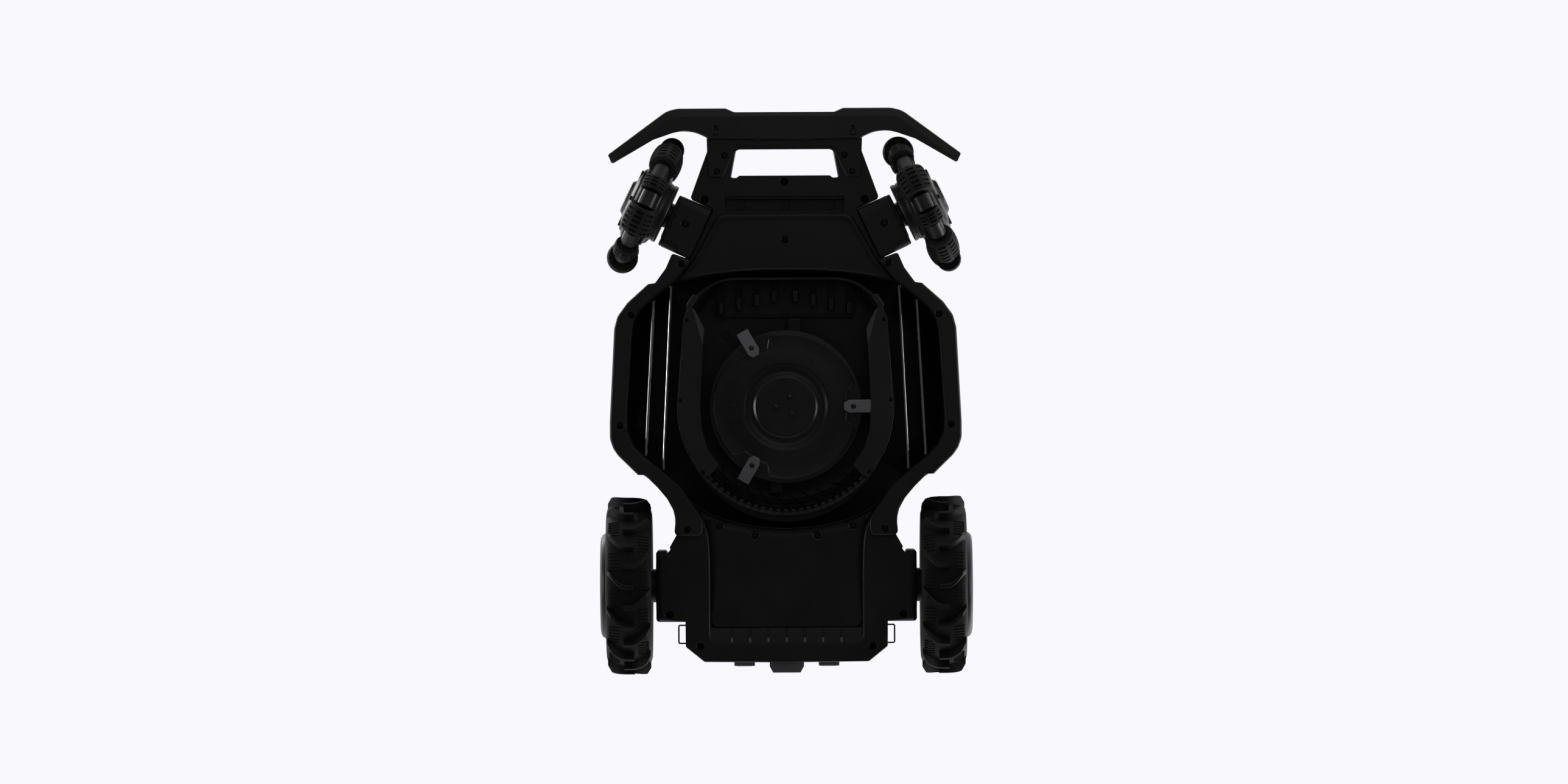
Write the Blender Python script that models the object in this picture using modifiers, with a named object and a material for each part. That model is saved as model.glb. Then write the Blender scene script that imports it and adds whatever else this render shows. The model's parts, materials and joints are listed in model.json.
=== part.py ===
"""Four wheel mower robot chassis, built from separate named pieces.

Frame: +Z up, the front faces -Y, the ground is z = 0, the origin is the middle of the footprint.
Sizes are in millimetres; the helpers turn them into metres. SIDES runs left (-X), then right (+X).
"""
import math

import bmesh
import bpy
from mathutils import Matrix, Vector

MM = 0.001
GAP = 0.35
SIDES = {"left": -1, "right": 1}

# Heights above the ground
SKIRT_BOTTOM = 52.0
BUMPER_BOTTOM = 53.0
BELLY = 56.0
CHASSIS_BOTTOM = 62.0
REAR_PANEL = 66.0
CHASSIS_TOP = 150.0
ROOF_BOTTOM = 144.0
SHELL_BOTTOM = CHASSIS_TOP + GAP
SHELL_TOP = 272.0

# Cutting deck, at its lowest setting
DECK_Y = 17.5
DECK_RADIUS = 125.5
DECK_FRONT = -131.4
DECK_BOTTOM = 40.0
DECK_TOP = 84.0
DECK_WALL = 3.0
DISC_RADIUS = 88.4
DISC_BOTTOM = 44.0
BLADE_PIVOT_RADIUS = 78.4
BLADE_TIP_RADIUS = 100.0
BLADE_LENGTH = 32.5
BLADE_WIDTH = 15.0
BLADE_COUNT = 3

# Rear wheels
REAR_AXLE_Y = 225.4
REAR_RADIUS = 103.4
REAR_CARCASS = 93.7
REAR_RIM = 62.0
REAR_INNER_X = 156.0
REAR_OUTER_X = 209.1
REAR_CAP_X = 215.9
LUGS = 13
REAR_HOUSING_HALF = 41.4
REAR_HOUSING_X = (118.4, 151.1)

# Omni wheels, toed in
OMNI_X = 160.4
OMNI_Y = -216.7
OMNI_TOE = math.radians(25.0)
OMNI_RADIUS = 85.0
ROLLER_CIRCLE = {"big": 66.8, "small": 70.6}
ROLLER_HALF_LENGTH = {"big": 16.0, "small": 7.75}
ROLLERS_OF_A_KIND = 5
FIRST_ROLLER = {
    ("left", "big"): 16.0,
    ("left", "small"): -20.0,
    ("right", "big"): -22.0,
    ("right", "small"): 14.0,
}
CONNECTOR_RADIUS = 9.7
CONNECTOR_CIRCLE = 67.0
CONNECTOR_LENGTH = 18.6
CONNECTOR_LEAN = 21.6    # degrees from a big roller's middle to the middle of the next gap

# Colour (linear RGB), roughness, metallic
FINISHES = {
    "plastic": ((0.030, 0.030, 0.032), 0.55, 0.0),
    "dark_plastic": ((0.012, 0.012, 0.013), 0.60, 0.0),
    "grey_plastic": ((0.075, 0.077, 0.082), 0.45, 0.0),
    "rubber": ((0.022, 0.022, 0.023), 0.80, 0.0),
    "steel": ((0.62, 0.62, 0.63), 0.22, 1.0),
    "blade_steel": ((0.50, 0.50, 0.53), 0.35, 1.0),
    "red_plastic": ((0.55, 0.02, 0.02), 0.40, 0.0),
    "glass": ((0.004, 0.004, 0.006), 0.08, 0.0),
    "circuit": ((0.01, 0.10, 0.04), 0.50, 0.0),
}


# ---------------------------------------------------------------- helpers

def clear_scene():
    for obj in list(bpy.data.objects):
        bpy.data.objects.remove(obj, do_unlink=True)


def new_collection(name):
    collection = bpy.data.collections.new(name)
    bpy.context.scene.collection.children.link(collection)
    return collection


def object_from(bm, closed=True):
    if closed:
        bmesh.ops.recalc_face_normals(bm, faces=bm.faces)
    mesh = bpy.data.meshes.new("shape")
    bm.to_mesh(mesh)
    bm.free()
    return bpy.data.objects.new("shape", mesh)


def finish_of(name, finish):
    colour, roughness, metallic = FINISHES[finish]
    material = bpy.data.materials.new(name + "_finish")
    material.use_nodes = True
    shader = material.node_tree.nodes["Principled BSDF"]
    shader.inputs["Base Color"].default_value = (*colour, 1.0)
    shader.inputs["Roughness"].default_value = roughness
    shader.inputs["Metallic"].default_value = metallic
    return material


def part(name, obj, finish):
    """Names a shape, gives it its finish and puts it with the object's pieces."""
    obj.name = name
    obj.data.name = name
    obj.data.materials.append(finish_of(name, finish))
    if obj.type == "MESH":
        obj.data.shade_smooth()
        obj.data.set_sharp_from_angle(angle=math.radians(35))
    PARTS.objects.link(obj)
    return obj


def tool(obj):
    """Marks a shape as an operand of a Boolean."""
    obj.hide_render = True
    obj.display_type = "WIRE"
    CUTTERS.objects.link(obj)
    return obj


def boolean(target, other, operation, solver):
    modifier = target.modifiers.new(operation.lower(), "BOOLEAN")
    modifier.operation = operation
    modifier.solver = solver
    modifier.object = tool(other)


def join(target, other, solver="EXACT"):
    boolean(target, other, "UNION", solver)


def cut(target, other, solver="EXACT"):
    boolean(target, other, "DIFFERENCE", solver)


def set_origin(obj, point):
    """Moves an object's origin to a point, in millimetres, without moving its shape."""
    place = Vector(point) * MM
    obj.data.transform(Matrix.Translation(obj.location - place))
    obj.location = place


def mirrored(points):
    """A right half outline, front to rear, closed with its mirror image."""
    return points + [(-x, y) for x, y in reversed(points) if abs(x) > 1e-6]


def sided(points, side):
    return [(x * side, y) for x, y in points]


def arc(centre, radius, start, end, steps):
    """Points on a circle between two angles in degrees, both ends included."""
    angles = [math.radians(start + (end - start) * i / steps) for i in range(steps + 1)]
    return [(centre[0] + radius * math.cos(a), centre[1] + radius * math.sin(a)) for a in angles]


def plate(outline, bottom, top):
    """A flat outline in x and y, filled between two heights."""
    curve = bpy.data.curves.new("outline", "CURVE")
    curve.dimensions = "2D"
    curve.fill_mode = "BOTH"
    curve.extrude = (top - bottom) / 2 * MM
    spline = curve.splines.new("POLY")
    spline.points.add(len(outline) - 1)
    for point, (x, y) in zip(spline.points, outline):
        point.co = (x * MM, y * MM, 0.0, 1.0)
    spline.use_cyclic_u = True
    guide = bpy.data.objects.new("outline", curve)
    bpy.context.scene.collection.objects.link(guide)
    graph = bpy.context.evaluated_depsgraph_get()
    mesh = bpy.data.meshes.new_from_object(guide.evaluated_get(graph))
    bpy.data.objects.remove(guide, do_unlink=True)
    bm = bmesh.new()
    bm.from_mesh(mesh)
    bpy.data.meshes.remove(mesh)
    bmesh.ops.remove_doubles(bm, verts=bm.verts, dist=0.00001)
    bmesh.ops.translate(bm, verts=bm.verts, vec=(0, 0, (top + bottom) / 2 * MM))
    return object_from(bm)


def boxes(placements):
    """One mesh of boxes, each given by its place (a matrix in metres) and its size."""
    bm = bmesh.new()
    for place, size in placements:
        scale = Matrix.Diagonal((*[edge * MM for edge in size], 1.0))
        bmesh.ops.create_cube(bm, size=1.0, matrix=place @ scale)
    return object_from(bm)


def box(low, high):
    middle = [(a + b) / 2 * MM for a, b in zip(low, high)]
    size = [b - a for a, b in zip(low, high)]
    return boxes([(Matrix.Translation(middle), size)])


def bars(placements, steps):
    """One mesh of round bars along Z, each given by its place, radius and length."""
    bm = bmesh.new()
    for place, radius, length in placements:
        bmesh.ops.create_cone(bm, cap_ends=True, segments=steps, radius1=radius * MM,
                              radius2=radius * MM, depth=length * MM, matrix=place)
    return object_from(bm)


def rod(start, end, radius, steps=16):
    """A round bar between two points."""
    first = Vector(start) * MM
    last = Vector(end) * MM
    turn = (last - first).to_track_quat("Z", "Y").to_matrix().to_4x4()
    place = Matrix.Translation((first + last) / 2) @ turn
    return bars([(place, radius, (last - first).length / MM)], steps)


def turned(profile, steps, place=None, closed=False):
    """A profile of (radius, height), run down its outer side, turned about its own Z."""
    bm = bmesh.new()
    points = [bm.verts.new((radius * MM, 0.0, height * MM)) for radius, height in profile]
    for first, second in zip(points, points[1:]):
        bm.edges.new((first, second))
    if closed:
        bm.edges.new((points[-1], points[0]))
    mesh = bpy.data.meshes.new("profile")
    bm.to_mesh(mesh)
    bm.free()
    obj = bpy.data.objects.new("turned", mesh)
    screw = obj.modifiers.new("turn", "SCREW")
    screw.steps = steps
    screw.render_steps = steps
    screw.use_merge_vertices = True
    screw.merge_threshold = 0.00001
    screw.use_smooth_shade = True
    if place is not None:
        obj.matrix_world = place
    return obj


def frame_of(centre, x_axis, z_axis):
    """A matrix in metres from a centre in millimetres and two of its axes."""
    y_axis = z_axis.cross(x_axis)
    turn = Matrix((x_axis, y_axis, z_axis)).transposed().to_4x4()
    return Matrix.Translation(Vector(centre) * MM) @ turn


# ---------------------------------------------------------------- outlines

def chamber_front():
    """Right half of the mowing chamber's front edge, from the middle outwards."""
    return [(0, -140), (45, -139), (90, -134.5), (129.5, -127)]


def chamber_rear():
    """Right half of the mowing chamber's rear edge, from the outside to the middle."""
    return [(121.5, 117.3), (95.3, 138.2), (73.6, 147.8), (38.7, 156.3), (0, 159.5)]


def front_block_outline():
    horn = [(63.8, -250.3), (58, -280.5), (88.9, -280.5), (109.3, -224.2)]
    pod_notch = [(83.0, -211.8), (109.8, -153.2)]
    arm = [(130, -160.5), (135.6, -148.3)]
    front = [(0, -250.3)] + horn + pod_notch + arm
    return mirrored(front + list(reversed(chamber_front())))


def rear_block_outline():
    flank = [(128.1, 147.8), (126.7, 165), (136.5, 182.5), (118, 182.5), (117.1, 295.7)]
    tail = [(95.3, 313.3), (20, 314), (0, 314)]
    return mirrored(list(reversed(chamber_rear())) + [(130, 128)] + flank + tail)


def roof_outline():
    side = [(0, -138), (131, -150), (148, -126), (181, -103.5), (192, -88), (196, -73.4)]
    rear = [(201, 35), (201, 54), (192, 73), (168, 96), (147, 110), (120, 160), (0, 165)]
    return mirrored(side + rear)


def skirt_outer():
    return [(138.3, -142.9), (150.7, -126), (158.5, -125.1), (183, -103.5), (194.3, -88),
            (198.2, -73.4), (203.8, 34.9), (203.8, 54.2), (199.9, 65.5), (194.3, 73.7),
            (171.5, 96), (163.4, 96.3)]


def skirt_inner():
    return [(142.4, 91.5), (165, 73.7), (175.5, 62.4), (182.8, 46.2), (183.7, 30.1),
            (177.1, -71.8), (173.9, -84.7), (165, -97.6), (141, -118)]


def deck_outline(inset):
    side = DECK_RADIUS - inset
    corner = [(65 - 0.3 * inset, DECK_FRONT + inset), (83 - 0.5 * inset, -126.4 + 0.9 * inset),
              (103 - 0.7 * inset, -112.4 + 0.7 * inset), (114 - 0.9 * inset, -98 + 0.5 * inset),
              (119.6 - inset, -60)]
    rear = arc((0, DECK_Y), side, 0, 90, 14)
    return mirrored([(0, DECK_FRONT + inset)] + corner + rear[:-1] + [(0, DECK_Y + side)])


# ---------------------------------------------------------------- chassis

def make_chassis():
    chassis = plate(front_block_outline(), CHASSIS_BOTTOM, CHASSIS_TOP)
    join(chassis, plate(rear_block_outline(), CHASSIS_BOTTOM, CHASSIS_TOP))
    join(chassis, plate(roof_outline(), ROOF_BOTTOM, CHASSIS_TOP))
    cut(chassis, box((-69, -226, CHASSIS_BOTTOM - 5), (69, -209, CHASSIS_BOTTOM + 9)))
    cut(chassis, box((-80, -205, CHASSIS_BOTTOM + 12), (80, -158, CHASSIS_TOP + 5)))
    cut(chassis, box((-88, 100, CHASSIS_BOTTOM - 5), (88, 274.4, REAR_PANEL + 5)))
    cut(chassis, box((-100, 172, REAR_PANEL + 9), (100, 300, CHASSIS_TOP + 5)))
    part("lower_chassis", chassis, "plastic")


def make_covers():
    rim = [(126.4, -127.4), (107.2, -151.6), (81, -198.5), (78, -203), (71, -206)]
    front = mirrored([(0, -206)] + list(reversed(rim)) + [(90, -135), (45, -139.6), (0, -140.6)])
    part("front_belly_cover", plate(front, BELLY, CHASSIS_BOTTOM - GAP), "plastic")
    edge = [(87.5, 142.2), (73.6, 148.4), (38.7, 156.9), (0, 160.1)]
    rear = mirrored(list(reversed(edge)) + [(87.5, 274), (0, 274)])
    part("rear_belly_cover", plate(rear, REAR_PANEL, REAR_PANEL + 5 - GAP), "plastic")


def make_skirts():
    front_arm = [(109.6, -149.6), (111.0, -153.4), (130.6, -160.5)]
    rear_arm = [(148.9, 110.5), (132.4, 130.2), (128.1, 147.8), (129.5, 163), (126, 167.3),
                (95.3, 167.3), (95.3, 147.8), (121.4, 109.1)]
    flange = front_arm + skirt_outer() + rear_arm + skirt_inner() + [(128, -126.6)]
    wall = [(149, -124.5)] + skirt_outer()[2:] + skirt_inner()
    for label, side in SIDES.items():
        skirt = plate(sided(flange, side), SKIRT_BOTTOM, CHASSIS_BOTTOM - GAP)
        join(skirt, plate(sided(wall, side), SKIRT_BOTTOM + 3, ROOF_BOTTOM - GAP))
        part(label + "_side_skirt", skirt, "plastic")


def make_guard_rods():
    runs = {"outer": ((152.5, -106.0), (162.4, 74.0)), "inner": ((132.0, -122.5), (142.0, 90.0))}
    height = CHASSIS_BOTTOM + 4
    for label, side in SIDES.items():
        for place, (front, rear) in runs.items():
            steel = rod((front[0] * side, front[1], height), (rear[0] * side, rear[1], height), 2.0, 12)
            part(label + "_" + place + "_guard_rod", steel, "steel")


def make_bracket():
    """The carry handle, whose two pins guide the bumper."""
    top = CHASSIS_BOTTOM - GAP
    bottom = BUMPER_BOTTOM + 5.5
    tab = [(57, -279.8), (68.8, -255), (72, -248.5), (88.5, -248.5), (90, -291), (90, -311)]
    outline = mirrored([(0, -279.8)] + tab + [(70, -311), (70, -296), (0, -296)])
    bracket = plate(outline, bottom, top)
    for side in SIDES.values():
        x = 79.6 * side
        join(bracket, rod((x, -300.0, BUMPER_BOTTOM - 0.5), (x, -300.0, bottom + 1), 2.6, 16))
    part("bumper_bracket", bracket, "plastic")


def bumper_front():
    nose = [(0, -323.8), (58, -323.8), (68, -328.5), (124, -328.5)]
    return nose + [(136.7, -325.7), (205, -275)]


def make_bumper():
    rear = [(200, -264), (152, -292), (130, -300), (118.3, -301.6), (104, -300), (91.8, -295),
            (88, -292.7), (0, -291.5)]
    bumper = plate(mirrored(bumper_front() + rear), BUMPER_BOTTOM, BUMPER_BOTTOM + 5)
    back = [(201, -268), (133, -315), (124, -317.5), (68, -317.5), (58, -313), (0, -313)]
    join(bumper, plate(mirrored(bumper_front() + back), BUMPER_BOTTOM, 132))
    for side in SIDES.values():
        low = (79.6 * side - 2.95, -308.2, BUMPER_BOTTOM - 2)
        high = (79.6 * side + 2.95, -297.1, BUMPER_BOTTOM + 8)
        cut(bumper, box(low, high))
    part("front_bumper", bumper, "plastic")


def make_small_rear_pieces():
    block = mirrored([(0, 314.4), (20, 314.4), (20, 319), (16, 326.5), (0, 326.5)])
    part("charge_contact", plate(block, 72, 104), "grey_plastic")
    for label, side in SIDES.items():
        curve = bpy.data.curves.new("loop", "CURVE")
        curve.dimensions = "3D"
        curve.bevel_depth = 0.9 * MM
        curve.bevel_resolution = 2
        curve.use_fill_caps = True
        spline = curve.splines.new("POLY")
        path = [(117.6, 272), (124, 272), (124, 292), (117.6, 292)]
        spline.points.add(len(path) - 1)
        for point, (x, y) in zip(spline.points, path):
            point.co = (x * side * MM, y * MM, 80 * MM, 1.0)
        part(label + "_wire_loop", bpy.data.objects.new("loop", curve), "steel")


# ---------------------------------------------------------------- drive

def make_rear_drive():
    inner, outer = REAR_HOUSING_X
    front = REAR_AXLE_Y - REAR_HOUSING_HALF
    rear = REAR_AXLE_Y + REAR_HOUSING_HALF
    outline = [(inner, front), (outer - 3, front), (outer, front + 3), (outer, rear - 3), (outer - 3, rear),
               (inner, rear)]
    for label, side in SIDES.items():
        housing = plate(sided(outline, side), CHASSIS_BOTTOM, REAR_RADIUS + REAR_HOUSING_HALF)
        part(label + "_rear_motor_housing", housing, "plastic")
        make_rear_wheel(label, side)


def make_rear_wheel(label, side):
    centre = ((REAR_INNER_X + REAR_OUTER_X) / 2 * side, REAR_AXLE_Y, REAR_RADIUS)
    place = frame_of(centre, Vector((0, 0, -1)), Vector((side, 0, 0)))
    half = (REAR_OUTER_X - REAR_INNER_X) / 2
    profile = [(REAR_RIM + GAP, half - 7), (82, half), (REAR_CARCASS - 4, half - 3),
               (REAR_CARCASS, half - 12), (REAR_CARCASS, 12 - half), (REAR_CARCASS - 4, 3 - half),
               (82, -half), (REAR_RIM + GAP, 7 - half)]
    tyre = turned(profile, 39, place, closed=True)
    join(tyre, boxes(lug_placements(place, half, side)))
    part(label + "_rear_tyre", tyre, "rubber")
    cap = REAR_CAP_X - abs(centre[0])
    neck = -(abs(centre[0]) - REAR_HOUSING_X[1] - GAP)
    rim = [(0, cap), (50, cap), (57, cap - 1.2), (REAR_RIM, cap - 5), (REAR_RIM, 6 - half),
           (56, 8 - half), (19.5, 8 - half), (19.5, neck), (0, neck)]
    part(label + "_rear_rim", turned(rim, 32, place), "grey_plastic")


def lug_placements(place, half, side):
    """Two staggered rows of lugs; the outer row has one lug straight down."""
    pitch = math.tau / LUGS
    length = half + 6
    height = REAR_RADIUS - REAR_CARCASS + 6
    for row, offset in ((1, 0.0), (-1, 0.5)):
        for count in range(LUGS):
            turn = Matrix.Rotation((count + offset) * pitch * side, 4, "Z")
            shift = Matrix.Translation(Vector((REAR_RADIUS - height / 2, 0, row * (half - length / 2))) * MM)
            yield place @ turn @ shift, (height, 6.0, length)


def omni_frame(side):
    outward = Vector((side * math.cos(OMNI_TOE), -math.sin(OMNI_TOE), 0))
    return frame_of((side * OMNI_X, OMNI_Y, OMNI_RADIUS), Vector((0, 0, -1)), outward)


def roller_profile(kind):
    """The roller's outer line is the wheel's own circle, so that the wheel runs round."""
    half = ROLLER_HALF_LENGTH[kind]
    circle = ROLLER_CIRCLE[kind]
    steps = 4
    line = []
    for count in range(steps + 1):
        along = half - 2 * half * count / steps
        line.append((math.sqrt(OMNI_RADIUS ** 2 - along ** 2) - circle, along))
    return [(0, half)] + line + [(0, -half)]


def wheel_place(frame, circle, angle):
    """On a wheel's circle: local X outwards along the radius, local Z along the rim."""
    turn = Matrix.Rotation(angle, 4, "Z")
    swap = Matrix(((1, 0, 0, 0), (0, 0, 1, 0), (0, -1, 0, 0), (0, 0, 0, 1)))
    return frame @ turn @ Matrix.Translation((circle * MM, 0, 0)) @ swap


def connector_angles(label):
    """Middles of the ten gaps, which lie nearer to the small rollers' centres."""
    big = FIRST_ROLLER[label, "big"]
    for count in range(ROLLERS_OF_A_KIND):
        for lean in (CONNECTOR_LEAN, -CONNECTOR_LEAN):
            yield math.radians(big + 72.0 * count + lean)


def rollers_of(label, side):
    for kind in ("big", "small"):
        for count in range(ROLLERS_OF_A_KIND):
            angle = math.radians(FIRST_ROLLER[label, kind] + 72.0 * count) * side
            yield kind, count + 1, angle


def make_omni_hub(label, side, frame):
    hub = [(0, 25.7), (20, 25.7), (20, 23), (39, 17), (46, 12), (46, -12), (35, -18), (35, -26),
           (15, -26), (15, -30.6), (0, -30.6)]
    wheel = turned(hub, 30, frame)
    for angle in connector_angles(label):
        place = wheel_place(frame, CONNECTOR_CIRCLE, angle * side)
        arm = bars([(place, CONNECTOR_RADIUS, CONNECTOR_LENGTH)], 12)
        join(arm, boxes([(wheel_place(frame, 51.0, angle * side), (24, 12, 12))]))
        join(wheel, arm)
    room = []
    for kind, _, angle in rollers_of(label, side):
        length = 2 * (ROLLER_HALF_LENGTH[kind] + GAP)
        radius = OMNI_RADIUS - ROLLER_CIRCLE[kind] + 0.8
        room.append((wheel_place(frame, ROLLER_CIRCLE[kind], angle), radius, length))
    cut(wheel, bars(room, 14))
    part(label + "_omni_hub", wheel, "grey_plastic")


def make_omni_rollers(label, side, frame):
    for kind, number, angle in rollers_of(label, side):
        place = wheel_place(frame, ROLLER_CIRCLE[kind], angle)
        roller = turned(roller_profile(kind), 14, place)
        part("_".join((label, kind, "roller", str(number))), roller, "rubber")


def make_front_drive():
    for label, side in SIDES.items():
        frame = omni_frame(side)
        middle = frame @ Matrix.Translation(Vector((-2, side * 4.5, -51.5)) * MM)
        pod = boxes([(middle, (62, 63, 40.2))])
        bevel = pod.modifiers.new("round", "BEVEL")
        bevel.width = 9 * MM
        bevel.segments = 2
        bevel.limit_method = "ANGLE"
        part(label + "_front_motor_housing", pod, "plastic")
        make_omni_hub(label, side, frame)
        make_omni_rollers(label, side, frame)


# ---------------------------------------------------------------- cutting deck

def make_deck():
    deck = plate(deck_outline(0), DECK_BOTTOM, DECK_TOP)
    cut(deck, plate(deck_outline(DECK_WALL), DECK_BOTTOM - 5, DECK_TOP - DECK_WALL), "MANIFOLD")
    cut(deck, rod((0, DECK_Y, DECK_TOP - 9), (0, DECK_Y, DECK_TOP + 5), 9.0, 20), "MANIFOLD")
    part("deck_housing", deck, "dark_plastic")
    motor = turned([(0, 112), (30, 112), (38, 106), (38, DECK_TOP + GAP), (0, DECK_TOP + GAP)], 32)
    motor.location = (0, DECK_Y * MM, 0)
    part("blade_motor", motor, "steel")
    make_guard_plates()
    make_comb()


def make_guard_plates():
    outer = arc((0, DECK_Y), 124, 40.8, 0, 6)
    inner = arc((0, DECK_Y), 102, 10, 41, 5)
    front = [(119.4, -59), (117.4, -84), (111, -97.5), (106, -97.5), (99.7, -87.5), (94, -72),
             (93.2, -57), (98.8, -35), (98.8, 10)]
    for label, side in SIDES.items():
        guard = plate(sided(outer + front + inner, side), DECK_BOTTOM - 4, DECK_BOTTOM - GAP)
        part(label + "_guard_plate", guard, "plastic")


def make_comb():
    """A ribbed panel behind the deck's front wall, with eight teeth that hang down."""
    top = DECK_TOP - DECK_WALL - GAP
    corner = [(62, -128.3), (72, -125.2), (78.6, -119.4), (80.8, -112)]
    outline = mirrored([(0, -128.3)] + corner + [(80.8, -92), (75, -85.5), (0, -85.5)])
    comb = plate(outline, top - 4, top)
    teeth = []
    for x, rear in ((12.4, -103.5), (32.9, -99.0), (53.7, -94.4), (74.5, -89.3)):
        for side in SIDES.values():
            place = Matrix.Translation(Vector((x * side, rear - 7, top - 12)) * MM)
            teeth.append((place, (5.5, 14, 18)))
    join(comb, boxes(teeth), "MANIFOLD")
    part("front_comb", comb, "plastic")


def make_blades():
    bottom = DISC_BOTTOM
    disc = [(0, DECK_TOP - GAP), (6, DECK_TOP - GAP), (6, bottom + 9), (34, bottom + 9),
            (70, bottom + 7), (DISC_RADIUS - 2, bottom + 4), (DISC_RADIUS, bottom + 3),
            (DISC_RADIUS, bottom + 1), (71, bottom), (48.7, bottom), (44, bottom + 2.5),
            (38, bottom + 2.5), (34.4, bottom), (0, bottom)]
    wheel = turned(disc, 36)
    wheel.location = (0, DECK_Y * MM, 0)
    blade_top = bottom - GAP
    blade_bottom = blade_top - 2
    for count in range(BLADE_COUNT):
        angle = math.tau * count / BLADE_COUNT
        turn = Matrix.Rotation(-angle, 4, "Z")
        axis = Matrix.Translation((0, DECK_Y * MM, 0)) @ turn
        pivot = axis @ Vector((BLADE_PIVOT_RADIUS * MM, 0, 0)) / MM
        join(wheel, rod((pivot.x, pivot.y, blade_bottom - 1.2), (pivot.x, pivot.y, bottom + 3), 2.6, 12))
        make_blade(count + 1, axis, pivot, blade_bottom, blade_top)
    part("blade_disc", wheel, "dark_plastic")


def make_blade(number, axis, pivot, bottom, top):
    tip = BLADE_TIP_RADIUS
    root = tip - BLADE_LENGTH
    half = BLADE_WIDTH / 2
    flat = [(tip, -half), (tip, half), (root + 6, half), (root, half - 3.5), (root, 3.5 - half),
            (root + 6, -half)]
    corners = [axis @ Vector((x * MM, y * MM, 0)) / MM for x, y in flat]
    blade = plate([(corner.x, corner.y) for corner in corners], bottom, top)
    cut(blade, rod((pivot.x, pivot.y, bottom - 3), (pivot.x, pivot.y, top + 3), 3.0, 16))
    set_origin(blade, (pivot.x, pivot.y, bottom))
    part("blade_" + str(number), blade, "blade_steel")


# ---------------------------------------------------------------- upper body

# Stations along the shell: y, half width of the outer edge, half width of the raised middle,
# height of the side shoulder, height of the crest
SHELL_STATIONS = (
    (-249, 66, 54, 184, 196), (-241, 88, 74, 192, 209), (-225, 100, 84, 200, 226),
    (-185, 106, 90, 206, 243), (-158, 116, 96, 208, 252), (-126, 146, 102, 208, 260),
    (-103, 178, 106, 206, 264), (-80, 193, 108, 204, 267), (-30, 198, 112, 203, 271),
    (30, 201, 114, 204, 272), (56, 199, 114, 205, 272), (74, 191, 114, 206, 272),
    (96, 168, 114, 208, 272), (112, 146, 112, 210, 272), (135, 129, 110, 212, 271),
    (165, 124, 106, 214, 268), (205, 122, 102, 214, 261), (250, 118, 98, 210, 250),
    (294, 112, 92, 202, 234), (311, 92, 78, 196, 222),
)


def shell_section(wide, middle, shoulder, crest):
    """Right half of a cross section, from its lower edge up to the crest."""
    step = wide - middle
    return [(wide, SHELL_BOTTOM), (wide, shoulder - 14), (wide - 0.22 * step, shoulder - 2),
            (middle + 0.28 * step, shoulder + 4), (middle, shoulder + 12),
            (middle - 7, crest - 14), (middle - 22, crest - 3), (middle - 46, crest), (0, crest)]


def make_upper_shell():
    bm = bmesh.new()
    rows = []
    for y, *sizes in SHELL_STATIONS:
        right = shell_section(*sizes)
        section = right + [(-x, z) for x, z in reversed(right[:-1])]
        rows.append([bm.verts.new((x * MM, y * MM, z * MM)) for x, z in section])
    for front, rear in zip(rows, rows[1:]):
        for a, b, c, d in zip(front, front[1:], rear[1:], rear):
            bm.faces.new((d, c, b, a))
    bm.faces.new(rows[0])
    bm.faces.new(list(reversed(rows[-1])))
    shell = object_from(bm, closed=False)
    solid = shell.modifiers.new("thickness", "SOLIDIFY")
    solid.thickness = 3 * MM
    solid.offset = -1
    solid.use_even_offset = False
    cut(shell, rod((0, 70, SHELL_TOP - 12), (0, 70, SHELL_TOP + 12), 31.0, 32), "MANIFOLD")
    cut(shell, box((-46, -262, 158), (46, -232, 182)), "MANIFOLD")
    part("upper_shell", shell, "grey_plastic")


def make_upper_details():
    button = turned([(0, 286), (24, 286), (30, 281), (30, 262), (0, 262)], 32)
    button.location = (0, 70 * MM, 0)
    part("stop_button", button, "red_plastic")
    part("sensor_window", box((-45, -251.5, 159), (45, -241, 181)), "glass")
    lid = mirrored([(0, -62), (52, -62), (62, -52), (62, 14), (52, 24), (0, 24)])
    part("top_cover", plate(lid, SHELL_TOP + GAP, SHELL_TOP + 3), "dark_plastic")


def make_inner_pieces():
    part("battery_pack", box((-92, 178, 76), (92, 292, 142)), "dark_plastic")
    part("main_board", box((-70, -60, 158), (70, 50, 160)), "circuit")
    motor = rod((100, -60, CHASSIS_TOP + 16.5), (100, 0, CHASSIS_TOP + 16.5), 16, 20)
    part("height_motor", motor, "steel")


clear_scene()
PARTS = new_collection("four_wheel_mower_chassis")
CUTTERS = new_collection("cutters")
make_chassis()
make_covers()
make_skirts()
make_guard_rods()
make_bracket()
make_bumper()
make_small_rear_pieces()
make_rear_drive()
make_front_drive()
make_deck()
make_blades()
make_upper_shell()
make_upper_details()
make_inner_pieces()
CUTTERS.hide_render = True
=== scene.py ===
"""Looks of the four wheel mower chassis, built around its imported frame.

Sizes are in millimetres unless a name says otherwise; shapes are made in metres through MM.
Half outlines list the right side (+X); the front faces -Y. Heights are above the ground.
"""

import json
import math

import bmesh
import bpy
from mathutils import Matrix, Vector

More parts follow.
